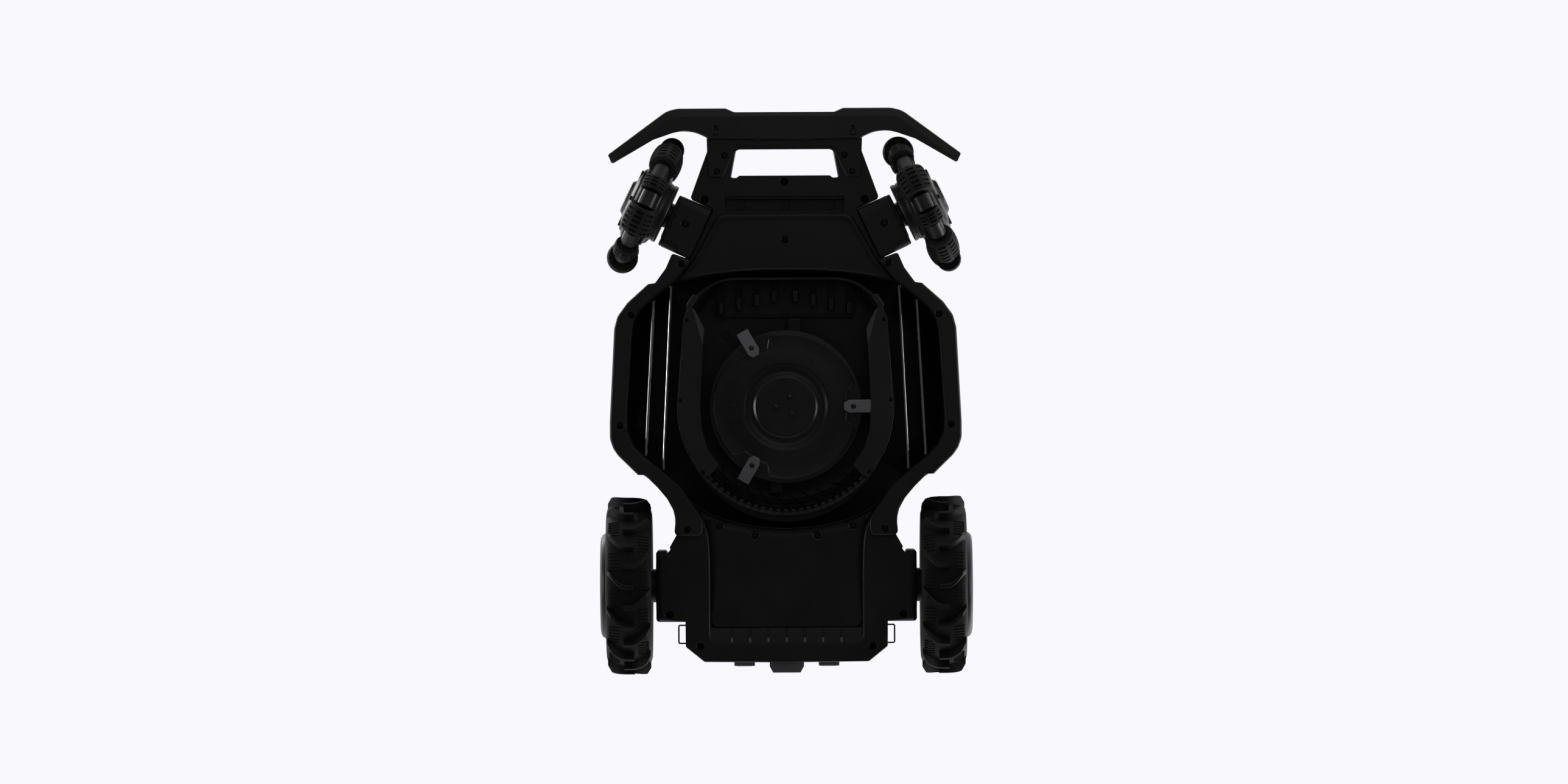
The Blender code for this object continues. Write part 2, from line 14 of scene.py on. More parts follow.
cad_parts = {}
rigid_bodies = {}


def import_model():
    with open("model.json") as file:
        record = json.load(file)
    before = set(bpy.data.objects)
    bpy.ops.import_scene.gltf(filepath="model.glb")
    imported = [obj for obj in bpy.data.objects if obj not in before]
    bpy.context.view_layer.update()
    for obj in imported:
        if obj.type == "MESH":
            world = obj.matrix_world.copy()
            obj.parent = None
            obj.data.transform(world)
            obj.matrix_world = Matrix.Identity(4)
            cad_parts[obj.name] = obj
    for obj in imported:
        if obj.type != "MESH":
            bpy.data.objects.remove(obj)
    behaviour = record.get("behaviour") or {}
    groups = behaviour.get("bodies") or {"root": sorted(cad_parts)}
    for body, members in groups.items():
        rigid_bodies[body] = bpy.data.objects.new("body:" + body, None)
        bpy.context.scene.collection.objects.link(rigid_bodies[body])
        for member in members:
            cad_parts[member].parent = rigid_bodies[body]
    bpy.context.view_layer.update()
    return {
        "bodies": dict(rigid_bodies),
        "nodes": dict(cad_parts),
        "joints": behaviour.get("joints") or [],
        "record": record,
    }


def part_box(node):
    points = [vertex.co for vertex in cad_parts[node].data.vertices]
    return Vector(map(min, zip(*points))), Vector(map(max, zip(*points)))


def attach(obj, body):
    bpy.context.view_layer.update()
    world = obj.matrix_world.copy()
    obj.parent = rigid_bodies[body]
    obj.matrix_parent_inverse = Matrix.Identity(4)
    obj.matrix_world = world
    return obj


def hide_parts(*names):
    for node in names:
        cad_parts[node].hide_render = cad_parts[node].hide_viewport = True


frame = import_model()

MM = 0.001
SIDES = {"left": -1, "right": 1}
DOWN = Vector((0, 0, -1))
# Body, look and material slot that several pieces share
FRAME = ("chassis", "frame", "chassis_plastic")
CHAMBER = ("chassis", "chamber", "chassis_plastic")
SHELL = ("chassis", "shell", "shell_plastic")


def span(node):
    """Lowest and highest corner of a CAD node, in millimetres."""
    low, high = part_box(node)
    return low / MM, high / MM


def height_of(node, end):
    """Lowest (0) or highest (1) point of a CAD node, in millimetres."""
    return span(node)[end].z


SKIRT_BOTTOM = height_of("right_side_skirt", 0)
BELLY = height_of("front_belly_cover", 0)
FRAME_BOTTOM = height_of("lower_chassis", 0)
FRAME_TOP = height_of("lower_chassis", 1)
PANEL = height_of("rear_belly_cover", 0)
BUMPER_BOTTOM = height_of("front_bumper", 0)
BUMPER_TOP = height_of("front_bumper", 1)


# ---------------------------------------------------------------- mesh helpers

def mesh_object(bm, name="shape"):
    """An object from a bmesh, with its faces turned outwards."""
    bmesh.ops.recalc_face_normals(bm, faces=bm.faces)
    mesh = bpy.data.meshes.new(name)
    bm.to_mesh(mesh)
    bm.free()
    return bpy.data.objects.new(name, mesh)


def skin(rings, closed=False, edge=0.0):
    """A surface over rings of points; a ring may be one point, and a closed skin has no end caps."""
    bm = bmesh.new()
    rows = [[bm.verts.new(Vector(point) * MM) for point in ring] for ring in rings]
    following = rows[1:] + rows[:1] if closed else rows[1:]
    for first, second in zip(rows, following):
        for index in range(max(len(first), len(second))):
            corners = (first[index - 1 if len(first) > 1 else 0], first[index % len(first)],
                       second[index % len(second)], second[index - 1 if len(second) > 1 else 0])
            bm.faces.new(dict.fromkeys(corners))
    for end in () if closed else (rows[0], rows[-1][::-1]):
        if len(end) > 2:
            bm.faces.new(end)
    if edge > 0:
        bmesh.ops.bevel(bm, geom=bm.edges[:], offset=edge * MM, segments=1, affect="EDGES")
    return mesh_object(bm)


def piece(name, obj, body, look, slot, replaces=(), angle=32.0):
    """Names a shape, gives it its finish and lets it move with a body."""
    obj.name = obj.data.name = name
    obj.data.materials.clear()
    obj.data.materials.append(LOOKS[look])
    if not obj.users_collection:
        bpy.context.scene.collection.objects.link(obj)
    obj.data.shade_smooth()
    obj.data.set_sharp_from_angle(angle=math.radians(angle))
    obj.modifiers.new("face_normals", "WEIGHTED_NORMAL").keep_sharp = True
    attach(obj, body)
    if replaces:
        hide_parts(*replaces)


def solve(obj, tools):
    """Cuts other shapes out of a shape and keeps the plain mesh."""
    scene = bpy.context.scene.collection
    for shape in [obj] + tools:
        scene.objects.link(shape)
    for tool in tools:
        modifier = obj.modifiers.new("solve", "BOOLEAN")
        modifier.operation = "DIFFERENCE"
        modifier.solver = "EXACT"
        modifier.object = tool
    graph = bpy.context.evaluated_depsgraph_get()
    mesh = bpy.data.meshes.new_from_object(obj.evaluated_get(graph))
    obj.modifiers.clear()
    obj.data = mesh
    scene.objects.unlink(obj)
    for tool in tools:
        bpy.data.objects.remove(tool, do_unlink=True)
    return obj


def joined(*objects):
    """One object from several shapes, which stay separate bodies."""
    bm = bmesh.new()
    for obj in objects:
        obj.data.transform(obj.matrix_basis)
        bm.from_mesh(obj.data)
        bpy.data.objects.remove(obj, do_unlink=True)
    mesh = bpy.data.meshes.new("joined")
    bm.to_mesh(mesh)
    bm.free()
    return bpy.data.objects.new("joined", mesh)


def mirrored(points):
    """A right half outline closed with its mirror image; points are (x, y) or (x, y, radius)."""
    return points + [(-p[0], *p[1:]) for p in reversed(points) if abs(p[0]) > 1e-6]


def sided(points, side):
    """Points of the right side, or their mirror image for the left side (-1)."""
    return [(p[0] * side, *p[1:]) for p in points]


def arc(centre, radius, start, end, steps):
    """Points on a circle between two angles in degrees, both ends included."""
    angles = [math.radians(start + (end - start) * i / steps) for i in range(steps + 1)]
    return [(centre[0] + radius * math.cos(a), centre[1] + radius * math.sin(a)) for a in angles]


def rounded(points, steps=6):
    """A closed outline whose corners (x, y, radius) are rounded by arcs."""
    outline = []
    for index, point in enumerate(points):
        corner = Vector(point[:2])
        radius = point[2] if len(point) > 2 else 0.0
        back = Vector(points[index - 1][:2]) - corner
        ahead = Vector(points[(index + 1) % len(points)][:2]) - corner
        half_turn = back.angle(ahead) / 2
        if radius <= 0:
            outline.append(tuple(corner))
            continue
        reach = min(radius / math.tan(half_turn), 0.48 * back.length, 0.48 * ahead.length)
        middle = (back.normalized() + ahead.normalized()).normalized()
        centre = corner + middle * (reach / math.cos(half_turn))
        start = corner + back.normalized() * reach - centre
        end = corner + ahead.normalized() * reach - centre
        for step in range(steps + 1):
            turn = start.angle_signed(end) * step / steps
            outline.append(tuple(centre + Matrix.Rotation(-turn, 2) @ start))
    return outline


def inset(points, distance, weights=None):
    """Corners moved inwards by the distance times their weights; their radii follow."""
    following = points[1:] + points[:1]
    area = sum(a[0] * b[1] - b[0] * a[1] for a, b in zip(points, following))
    sign = 1.0 if area > 0 else -1.0
    moved = []
    for index, point in enumerate(points):
        spot = Vector(point[:2])
        first = (spot - Vector(points[index - 1][:2])).normalized()
        second = (Vector(following[index][:2]) - spot).normalized()
        convex = math.copysign(1.0, first.cross(second) * sign)
        first = Vector((-first.y, first.x)) * sign
        second = Vector((-second.y, second.x)) * sign
        miter = (first + second) / max(1.0 + first.dot(second), 0.35)
        move = distance * (weights[index] if weights else 1.0)
        radius = point[2] if len(point) > 2 else 0.0
        radius = max(radius - move * convex, 0.05) if radius > 0 else 0.0
        moved.append((*(spot + miter * move), radius))
    return moved


def loft(points, profile, weights=None, steps=6):
    """A solid whose outline moves inwards by each (inset, height) of its profile."""
    return skin([[(x, y, height) for x, y in rounded(inset(points, distance, weights), steps)]
                 for distance, height in profile])


def above(base, profile):
    """A profile whose heights are counted from a base."""
    return [(distance, base + height) for distance, height in profile]


def soft_plate(points, bottom, top, edge=0.8, steps=6):
    """A plate with rounded lower and upper edges."""
    small = edge * 0.3
    lower = [(edge, 0), (small, small), (0, edge)]
    upper = [(distance, -height) for distance, height in lower[::-1]]
    return loft(points, above(bottom, lower) + above(top, upper), steps=steps)


def turned(profile, steps=48, place=Matrix(), closed=False):
    """Turns (radius, height) points about the Z axis of a place; a radius of 0 is a pole."""
    turns = [math.tau * step / steps for step in range(steps)]
    rings = []
    for radius, height in profile:
        around = turns if radius else turns[:1]
        rings.append([(radius * math.cos(turn), radius * math.sin(turn), height) for turn in around])
    obj = skin(rings, closed)
    obj.data.transform(place)
    return obj


def boxes(placements, edge=0.0, segments=2):
    """One shape of boxes, each given by its place (a matrix in metres) and its size."""
    bm = bmesh.new()
    for place, size in placements:
        scale = Matrix.Diagonal((*[length * MM for length in size], 1.0))
        bmesh.ops.create_cube(bm, size=1.0, matrix=place @ scale)
    if edge > 0:
        bmesh.ops.bevel(bm, geom=bm.edges[:], offset=edge * MM, segments=segments,
                        affect="EDGES", profile=0.5)
    return mesh_object(bm)


def at(x, y, z):
    """A place in metres from millimetres."""
    return Matrix.Translation(Vector((x, y, z)) * MM)


def cylinder(start, end, radius, steps=32, edge=0.0):
    """A bar between two points, with a chamfer at both ends."""
    line = Vector(end) - Vector(start)
    place = at(*start) @ line.to_track_quat("Z", "Y").to_matrix().to_4x4()
    profile = [(0, 0), (radius - edge, 0), (radius, edge), (radius, line.length - edge),
               (radius - edge, line.length), (0, line.length)]
    if edge <= 0:
        del profile[4], profile[1]
    return turned(profile, steps, place)


def frame_of(centre, x_axis, z_axis):
    """A place in metres from a centre in millimetres and two of its axes."""
    y_axis = z_axis.cross(x_axis)
    turn = Matrix((x_axis, y_axis, z_axis)).transposed().to_4x4()
    return at(*centre) @ turn


# ---------------------------------------------------------------- materials

def new_node(tree, kind, **inputs):
    """A shader node with some of its inputs set; an underscore stands for a space."""
    node = tree.nodes.new(kind)
    for key, value in inputs.items():
        node.inputs[key.replace("_", " ")].default_value = value
    return node


class Finish:
    """A procedural material: grain, broad colour drift and uneven roughness."""

    def __init__(self, name, metallic=0.0, specular=0.5):
        """Starts from a plain Principled shader."""
        self.material = bpy.data.materials.new(name)
        self.material.use_nodes = True
        self.tree = self.material.node_tree
        self.link = self.tree.links.new
        self.shader = self.tree.nodes["Principled BSDF"]
        self.shader.inputs["Metallic"].default_value = metallic
        self.shader.inputs["Specular IOR Level"].default_value = specular
        self.where = new_node(self.tree, "ShaderNodeTexCoord").outputs["Object"]
        self.height = None

    def noise(self, scale, detail=3.0, stretch=None):
        """A noise over the surface; stretch gives its scale along X, Y and Z."""
        node = new_node(self.tree, "ShaderNodeTexNoise", Scale=scale, Detail=detail, Roughness=0.55)
        source = self.where
        if stretch:
            mapping = new_node(self.tree, "ShaderNodeMapping", Scale=stretch)
            self.link(source, mapping.inputs["Vector"])
            source = mapping.outputs["Vector"]
        self.link(source, node.inputs["Vector"])
        return node.outputs["Fac"]

    def colours(self, factor, dark, light, low=0.35, high=0.65):
        """Base colour between a dark and a light one, as the factor goes from low to high."""
        ramp = new_node(self.tree, "ShaderNodeValToRGB")
        for stop, position, colour in zip(ramp.color_ramp.elements, (low, high), (dark, light)):
            stop.position = position
            stop.color = (*colour, 1.0)
        self.link(factor, ramp.inputs["Fac"])
        self.link(ramp.outputs["Color"], self.shader.inputs["Base Color"])

    def roughness(self, factor, low, high):
        """Roughness that follows a noise between two values."""
        node = new_node(self.tree, "ShaderNodeMapRange", From_Min=0.3, From_Max=0.7, To_Min=low, To_Max=high)
        self.link(factor, node.inputs["Value"])
        self.link(node.outputs["Result"], self.shader.inputs["Roughness"])

    def bump(self, factor, depth, strength):
        """Adds a layer of relief, whose depth is in millimetres."""
        node = new_node(self.tree, "ShaderNodeBump", Strength=strength, Distance=depth * MM)
        self.link(factor, node.inputs["Height"])
        if self.height is not None:
            self.link(self.height, node.inputs["Normal"])
        self.height = node.outputs["Normal"]
        self.link(self.height, self.shader.inputs["Normal"])


def shade(colour, factor):
    """A colour made darker or lighter."""
    return tuple(channel * factor for channel in colour)


def plastic(name, colour, rough=(0.42, 0.58), depth=0.05, drift=0.22):
    """Moulded plastic with a fine spark-eroded grain."""
    finish = Finish(name)
    broad = finish.noise(16.0, 4.0)
    fine = finish.noise(1500.0, 2.0)
    finish.colours(broad, shade(colour, 1 - drift), shade(colour, 1 + drift))
    finish.roughness(broad, *rough)
    finish.bump(fine, depth, 0.5)
    finish.bump(broad, 0.25, 0.25)
    return finish.material


def rubber(name, colour):
    """Tyre rubber, matt, with a dusty bloom and a fine moulded texture."""
    finish = Finish(name, specular=0.35)
    broad = finish.noise(22.0, 5.0)
    fine = finish.noise(900.0, 4.0)
    finish.colours(broad, shade(colour, 0.75), shade(colour, 1.35))
    finish.roughness(broad, 0.62, 0.86)
    finish.bump(fine, 0.09, 0.5)
    return finish.material


def metal(name, colour, rough, stretch, depth=0.02, grain=60.0):
    """Metal with fine marks drawn out along one direction."""
    finish = Finish(name, metallic=1.0)
    marks = finish.noise(grain, 4.0, stretch)
    broad = finish.noise(30.0, 3.0)
    finish.colours(broad, shade(colour, 0.88), shade(colour, 1.06))
    finish.roughness(marks, *rough)
    finish.bump(marks, depth, 0.4)
    return finish.material


LOOKS = {
    "frame": plastic("frame_plastic", (0.031, 0.031, 0.033)),
    "skirt": plastic("skirt_plastic", (0.036, 0.036, 0.038), (0.40, 0.55)),
    "bumper": plastic("bumper_plastic", (0.040, 0.040, 0.042), (0.38, 0.52)),
    "deck": plastic("deck_plastic", (0.026, 0.026, 0.028), (0.44, 0.6)),
    "guard": plastic("guard_plastic", (0.040, 0.040, 0.042), (0.42, 0.55)),
    "disc": plastic("disc_plastic", (0.030, 0.030, 0.032), (0.30, 0.42), depth=0.03),
    # Painted light: the lattice is the deck's plastic made about twice as light, standing in for light on
    # tiles that sit in the deck's shade.
    "lattice": plastic("lattice_painted_light_plastic", (0.060, 0.060, 0.063), (0.5, 0.62)),
    "chamber": plastic("chamber_plastic", (0.030, 0.030, 0.031), (0.5, 0.66)),
    "shell": plastic("shell_plastic", (0.062, 0.064, 0.068), (0.34, 0.46), 0.03, 0.1),
    "cover": plastic("cover_plastic", (0.012, 0.012, 0.013), (0.12, 0.2), 0.01, 0.1),
    "hub": plastic("hub_plastic", (0.055, 0.055, 0.058), (0.32, 0.46)),
    "rim": plastic("rim_plastic", (0.045, 0.045, 0.048), (0.35, 0.5)),
    # The charge block's light plastic; it is also used as a painted highlight on the tips of the rear ribs.
    "contact": plastic("contact_plastic", (0.34, 0.34, 0.35), (0.35, 0.5)),
    "button": plastic("button_plastic", (0.40, 0.013, 0.010), (0.22, 0.34), 0.02, 0.1),
    "battery": plastic("battery_plastic", (0.012, 0.012, 0.014)),
    "glass": plastic("window_glass", (0.004, 0.004, 0.006), (0.04, 0.09), 0.004, 0.1),
    "tyre": rubber("tyre_rubber", (0.030, 0.030, 0.031)),
    "roller": rubber("roller_rubber", (0.034, 0.034, 0.035)),
    "rod": metal("rod_steel", (0.80, 0.80, 0.81), (0.05, 0.11), (4.0, 0.2, 4.0), 0.006),
    "blade": metal("blade_steel", (0.47, 0.47, 0.50), (0.30, 0.44), (0.5, 6.0, 1.0), 0.03),
    "screw": metal("screw_steel", (0.022, 0.022, 0.023), (0.36, 0.5), (1, 1, 1), grain=500.0),
    "bright_screw": metal("bright_screw_steel", (0.10, 0.10, 0.105), (0.22, 0.36), (1, 1, 1), grain=500.0),
    "motor": metal("motor_steel", (0.30, 0.30, 0.31), (0.3, 0.45), (1.0, 1.0, 5.0)),
    "brass": metal("contact_brass", (0.60, 0.44, 0.22), (0.25, 0.4), (3.0, 1.0, 1.0)),
}


def board_laminate():
    """Green solder resist with copper tracks showing through as straight ridges."""
    finish = Finish("board_laminate")
    tracks = finish.noise(120.0, 2.0, (1.0, 6.0, 1.0))
    finish.colours(tracks, (0.006, 0.05, 0.02), (0.02, 0.16, 0.06), 0.45, 0.55)
    finish.roughness(tracks, 0.25, 0.4)
    finish.bump(tracks, 0.06, 0.5)
    return finish.material


LOOKS["board"] = board_laminate()


# ---------------------------------------------------------------- screws

def screw_mesh():
    """A domed head of radius 1 with a six-lobed recess, its face at z = 0 looking down."""
    lobes = [(Matrix.Rotation(math.radians(60 * i), 4, "Z"), (1060, 330, 900)) for i in range(3)]
    head = turned([(0, 900), (1000, 900), (1000, 240), (930, 70), (760, 0), (0, 0)], 28)
    return solve(head, [boxes([lobe]) for lobe in lobes]).data


SCREW_MESH = screw_mesh()


def screws(name, points, radius, body, look="screw", axis=DOWN, lift=0.0):
    """Screw heads at points, lifted into their wells, as one piece; their faces look along an axis."""
    side = Vector((1, 0, 0)) if abs(axis.x) < 0.9 else Vector((0, 1, 0))
    bm = bmesh.new()
    for index, point in enumerate(points):
        place = frame_of(Vector(point) - DOWN * lift, side, -axis)
        mesh = SCREW_MESH.copy()
        mesh.transform(place @ Matrix.Rotation(0.3 + index * 1.1, 4, "Z") @ Matrix.Scale(radius * MM, 4))
        bm.from_mesh(mesh)
        bpy.data.meshes.remove(mesh)
    piece(name, mesh_object(bm), body, look, "polished_steel")


def wells(points, radius, depth, edge=0.6):
    """Cutters for screw wells that open downwards, with a small chamfer at the mouth."""
    profile = [(0, depth), (radius, depth), (radius, edge), (radius + edge, 0), (radius + edge, -3), (0, -3)]
    return [turned(profile, 28, at(*point)) for point in points]


def both(*points):
    """Each right hand point and its mirror image."""
    return [(x * side, y, z) for x, y, z in points for side in SIDES.values()]


def spline(values, place):
    """A smooth value between the entries of a list, at a fractional index."""
    index = min(int(place), len(values) - 2)
    t = place - index
    a, b = values[max(index - 1, 0)], values[index]
    c, d = values[index + 1], values[min(index + 2, len(values) - 1)]
    blend = b + t * (c - a) / 2 + t * t * (a - 2.5 * b + 2 * c - d / 2)
    return blend + t * t * t * (-a / 2 + 1.5 * b - 1.5 * c + d / 2)


def smooth(points, steps=5):
    """An open curve through points, which rounds the turns between them."""
    columns = list(zip(*points))
    places = [step / steps for step in range((len(points) - 1) * steps)]
    return [tuple(spline(column, place) for column in columns) for place in places] + [points[-1]]


def ribbon(points, width):
    """The outline of a band that follows a line and lies on its left."""
    other = []
    for point, back, ahead in zip(points, points[:1] + points, points[1:] + points[-1:]):
        way = (Vector(ahead) - Vector(back)).normalized()
        other.append(tuple(Vector(point) + width * Vector((-way.y, way.x))))
    return points + other[::-1]


def plate(outline, bottom, top):
    """A plain plate with sharp edges."""
    return loft(outline, [(0, bottom), (0, top)])


def capsule(x, front, rear, radius, steps=10):
    """The outline of a slot with round ends, running along Y."""
    first = arc((x, front + radius), radius, 180, 360, steps)
    return first + arc((x, rear - radius), radius, 0, 180, steps)


# ---------------------------------------------------------------- chassis

CHAMBER_FRONT = smooth([(0, -140), (45, -139), (90, -134.5), (129.5, -127)])
CHAMBER_REAR = smooth([(121.5, 117.3), (95.3, 138.2), (73.6, 147.8), (38.7, 156.3), (0, 159.5)])
COVER_REAR_EDGE = 274.0
GUIDE_X = 79.6
RIB_X = [21.2 * count for count in range(-3, 4)]
RECESS_SIDE = smooth([(114, 118), (104, 132), (95.5, 148), (90, 166), (88, 190), (87.6, 215)], 6)
SKIRT_OUTER = [(138.3, -142.9, 3), (150.7, -126, 3), (158.5, -125.1, 2), (183, -103.5, 16), (194.3, -88, 16),
               (198.2, -73.4, 20), (203.8, 34.9, 60), (203.8, 54.2, 20), (199.9, 65.5, 14), (194.3, 73.7, 20),
               (171.5, 96, 2), (163.4, 96.3, 2)]
SKIRT_INNER = [(142.4, 91.5, 20), (165, 73.7, 10), (175.5, 62.4, 20), (182.8, 46.2, 20), (183.7, 30.1, 30),
               (177.1, -71.8, 20), (173.9, -84.7, 20), (165, -97.6, 16), (141, -118, 4)]


def make_front_frame():
    """The frame in front of the deck: horns, pods, a slot with its trim and three screws."""
    horn = [(52.5, -250.3, 3), (55.6, -247.7, 3), (62.8, -247.7, 4.5), (56.5, -281), (88.9, -280.5),
            (109.3, -224.2, 3)]
    pod = [(83.0, -211.8, 2), (109.8, -153.2, 2)]
    arm = [(130, -160.5, 3), (135.6, -148.3, 3)]
    outline = mirrored([(0, -250.3)] + horn + pod + arm + CHAMBER_FRONT[::-1])
    slot = mirrored([(0, -226), (69, -226, 1.5), (69, -209, 1.5), (0, -209)])
    holes = [(0, -243, FRAME_BOTTOM)] + both((93.2, -222.6, FRAME_BOTTOM))
    cutters = [plate(slot, FRAME_BOTTOM - 4, FRAME_BOTTOM + 9)] + wells(holes, 4.5, 12)
    block = solve(soft_plate(outline, FRAME_BOTTOM, FRAME_TOP, 1.4), cutters)
    piece("front_frame", block, *FRAME, ["lower_chassis"])
    screws("front_frame_screws", holes, 3.6, "chassis", lift=7)
    ledge = boxes([(at(0, -224.2, FRAME_BOTTOM + 4.5), (136, 2.4, 9))], 0.9, 3)
    lean = Matrix.Rotation(math.radians(5.0), 4, "Y")
    cap = [(0, 0), (7.2, 0), (7.6, 0.6), (7.6, 3), (0, 3)]
    caps = [turned(cap, 40, at(x, -217, FRAME_BOTTOM + 8.6) @ lean) for x in (-52.5, -1.5, 50.5)]
    piece("front_slot_trim", joined(ledge, *caps), *FRAME)


def make_rear_frame():
    """The frame behind the deck, with the recess that the rear cover lies in."""
    flank = [(130, 128, 3), (128.1, 147.8, 3), (126.7, 165, 5), (136.5, 182.5, 2), (118, 182.5, 1),
             (117.1, 295.7, 3)]
    tail = [(95.3, 313.3, 4), (20, 314), (0, 314)]
    block = soft_plate(mirrored(CHAMBER_REAR[::-1] + flank + tail), FRAME_BOTTOM, FRAME_TOP, 1.8)
    recess = mirrored([(0, 118)] + RECESS_SIDE + [(87.6, 291.5, 9), (0, 291.5)])
    wall = above(FRAME_BOTTOM, [(-2.9, -2), (-2.3, 0.1), (-1.0, 1.0), (-0.3, 3), (0, 6)])
    cutters = [loft(recess, wall + [(0, PANEL + 3.4)])]
    cutters += [boxes([(at(x, 139.2, FRAME_BOTTOM), (34, 0.7, 1.6))]) for x in (-118, 118)]
    corner_screws = both((100.1, 295.4, FRAME_BOTTOM))
    cutters += wells(corner_screws, 4.4, 9)
    block = solve(block, cutters)
    piece("rear_frame", block, *FRAME, ["lower_chassis"])
    make_rear_ramp()
    screws("rear_corner_screws", corner_screws, 3.7, "chassis", lift=4)


def make_rear_ramp():
    """A ramp from the rear panel down to the frame's lower face, with seven ribs that end in small light
    pads, a painted highlight on the ribs' lowest tips.
    """
    front, rear, wide = 273.6, 291.8, 90.0
    top, foot = PANEL - 0.6, FRAME_BOTTOM + 1.0
    section = [(front, PANEL + 0.4), (front + 1.2, top), (rear - 4, foot), (rear, FRAME_BOTTOM + 0.1),
               (rear + 3, FRAME_BOTTOM - 0.03), (rear + 3, PANEL + 3), (front, PANEL + 3)]
    ramp = skin([[(x, y, z) for y, z in section] for x in (-wide, wide)])
    piece("rear_ramp", ramp, *FRAME, angle=60)
    run = rear - front - 5.2
    slope = Matrix.Rotation(-math.atan2(top - foot, run), 4, "X")
    rib_y = 279.6
    rib_z = top + (rib_y - front - 1.2) / run * (foot - top) - 0.5
    ribs = [(at(x, rib_y, rib_z) @ slope, (1.5, 10.5, 2.4)) for x in RIB_X]
    piece("rear_ribs", boxes(ribs, 0.3), *CHAMBER)
    # Painted highlight: the pads take the light contact plastic so the ribs' tips look lit, though they are
    # the frame's black plastic.
    pads = [(at(x, 288.0, FRAME_BOTTOM + 1.6) @ slope, (2.4, 5.6, 2.6)) for x in RIB_X]
    piece("rear_rib_highlight_pads", boxes(pads, 0.4), "chassis", "contact", "chassis_plastic")


def make_belly_covers():
    """The front and rear covers with their screws; the rear one is dished in its recess."""
    edge = [(71, -206, 6), (78, -203, 6), (82, -197, 6), (107.2, -151.6, 8), (126.4, -127.4, 2)]
    front = mirrored([(0, -206)] + edge + CHAMBER_FRONT[::-1][3:])
    lip = above(BELLY, [(0, 3.4), (0.5, 1.6), (1.7, 0.4), (3.2, 0), (4.8, 0.3), (6.6, 1.1), (9.4, 1.5)])
    weights = [1.0 if point[1] < -150 else 0.4 for point in front]
    cover = loft(front, [(0, FRAME_BOTTOM - 0.3)] + lip, weights)
    cover = solve(cover, wells([(0, -175.6, BELLY + 1.5)], 4.2, 3.4))
    piece("front_belly_panel", cover, *FRAME, ["front_belly_cover"])
    rim = [(x, y + 0.8) for x, y in CHAMBER_REAR[:3:-1]]
    flank = [(x + 1.6, y) for x, y in RECESS_SIDE if y > 142]
    rear = mirrored(rim + flank + [(89.0, COVER_REAR_EDGE, 9), (0, COVER_REAR_EDGE)])
    weights = [1.0 if 150 < point[1] < 265 else 0.15 for point in rear]
    cover = loft(rear, above(PANEL, [(0, 4.6), (0, 3.2), (2.6, 2.4), (5.5, 0.9), (10.0, 0)]), weights)
    piece("rear_belly_panel", cover, *FRAME, ["rear_belly_cover"])
    screws("front_cover_screw", [(0, -175.6, BELLY + 2.4)], 3.7, "chassis")
    bosses = both((77.4, 156, PANEL), (36.1, 167.3, PANEL))
    boss = [(3.7, 1), (3.7, -1.2), (4.6, -1.2), (5.4, -0.6), (5.8, 1)]
    rings = [turned(boss, 32, at(*point), closed=True) for point in bosses]
    piece("rear_cover_bosses", joined(*rings), *FRAME)
    screws("rear_cover_screws", bosses, 3.4, "chassis", lift=-0.6)


def make_chamber():
    """The dark space that the deck hangs in: its roof, its end walls and its curved flanks."""
    side = [(0, -138), (131, -149, 4), (148, -126, 4), (181, -103.5, 10), (196, -73.4, 20)]
    rear = [(201, 35, 30), (201, 54, 20), (168, 96, 6), (147, 110, 6), (120, 160, 4), (0, 165)]
    roof = soft_plate(mirrored(side + rear), FRAME_TOP - 6, FRAME_TOP, 0.8)
    piece("chamber_roof", roof, *CHAMBER, ["lower_chassis"])
    lines = [[(-x, y) for x, y in CHAMBER_FRONT[:0:-1]] + CHAMBER_FRONT, mirrored(CHAMBER_REAR)]
    ends = [plate(ribbon(line, 1.0), FRAME_BOTTOM + 3, FRAME_TOP - 6) for line in lines]
    flanks = [chamber_flank(side) for side in SIDES.values()]
    walls = joined(*ends, *flanks)
    piece("chamber_walls", walls, *CHAMBER, ["lower_chassis"], angle=50)


def chamber_flank(side):
    """A concave lining that leans in from the skirt's inner edge up to the roof."""
    edge = smooth([(146, 102), (166, 73), (176, 62), (183, 46), (184, 30), (177.6, -71), (174, -85),
                   (165, -98), (140, -120)], 4)
    face = [(0.4, SKIRT_BOTTOM + 6), (-0.5, 74), (-1.5, 96), (-4, 114), (-9, 128), (-17, 138), (-27, 143),
            (-38, 143.8)]
    back = [(move + 1.2, height + 0.6) for move, height in face[::-1]]
    return swept(sided(edge, side), [(move * side, height) for move, height in face + back])


def swept(path, section):
    """A closed section of (sideways, height) points carried along a level path."""
    rows = [[(x, y, height) for x, y in ribbon(path, move)[:len(path) - 1:-1]] for move, height in section]
    return skin(list(zip(*rows)))


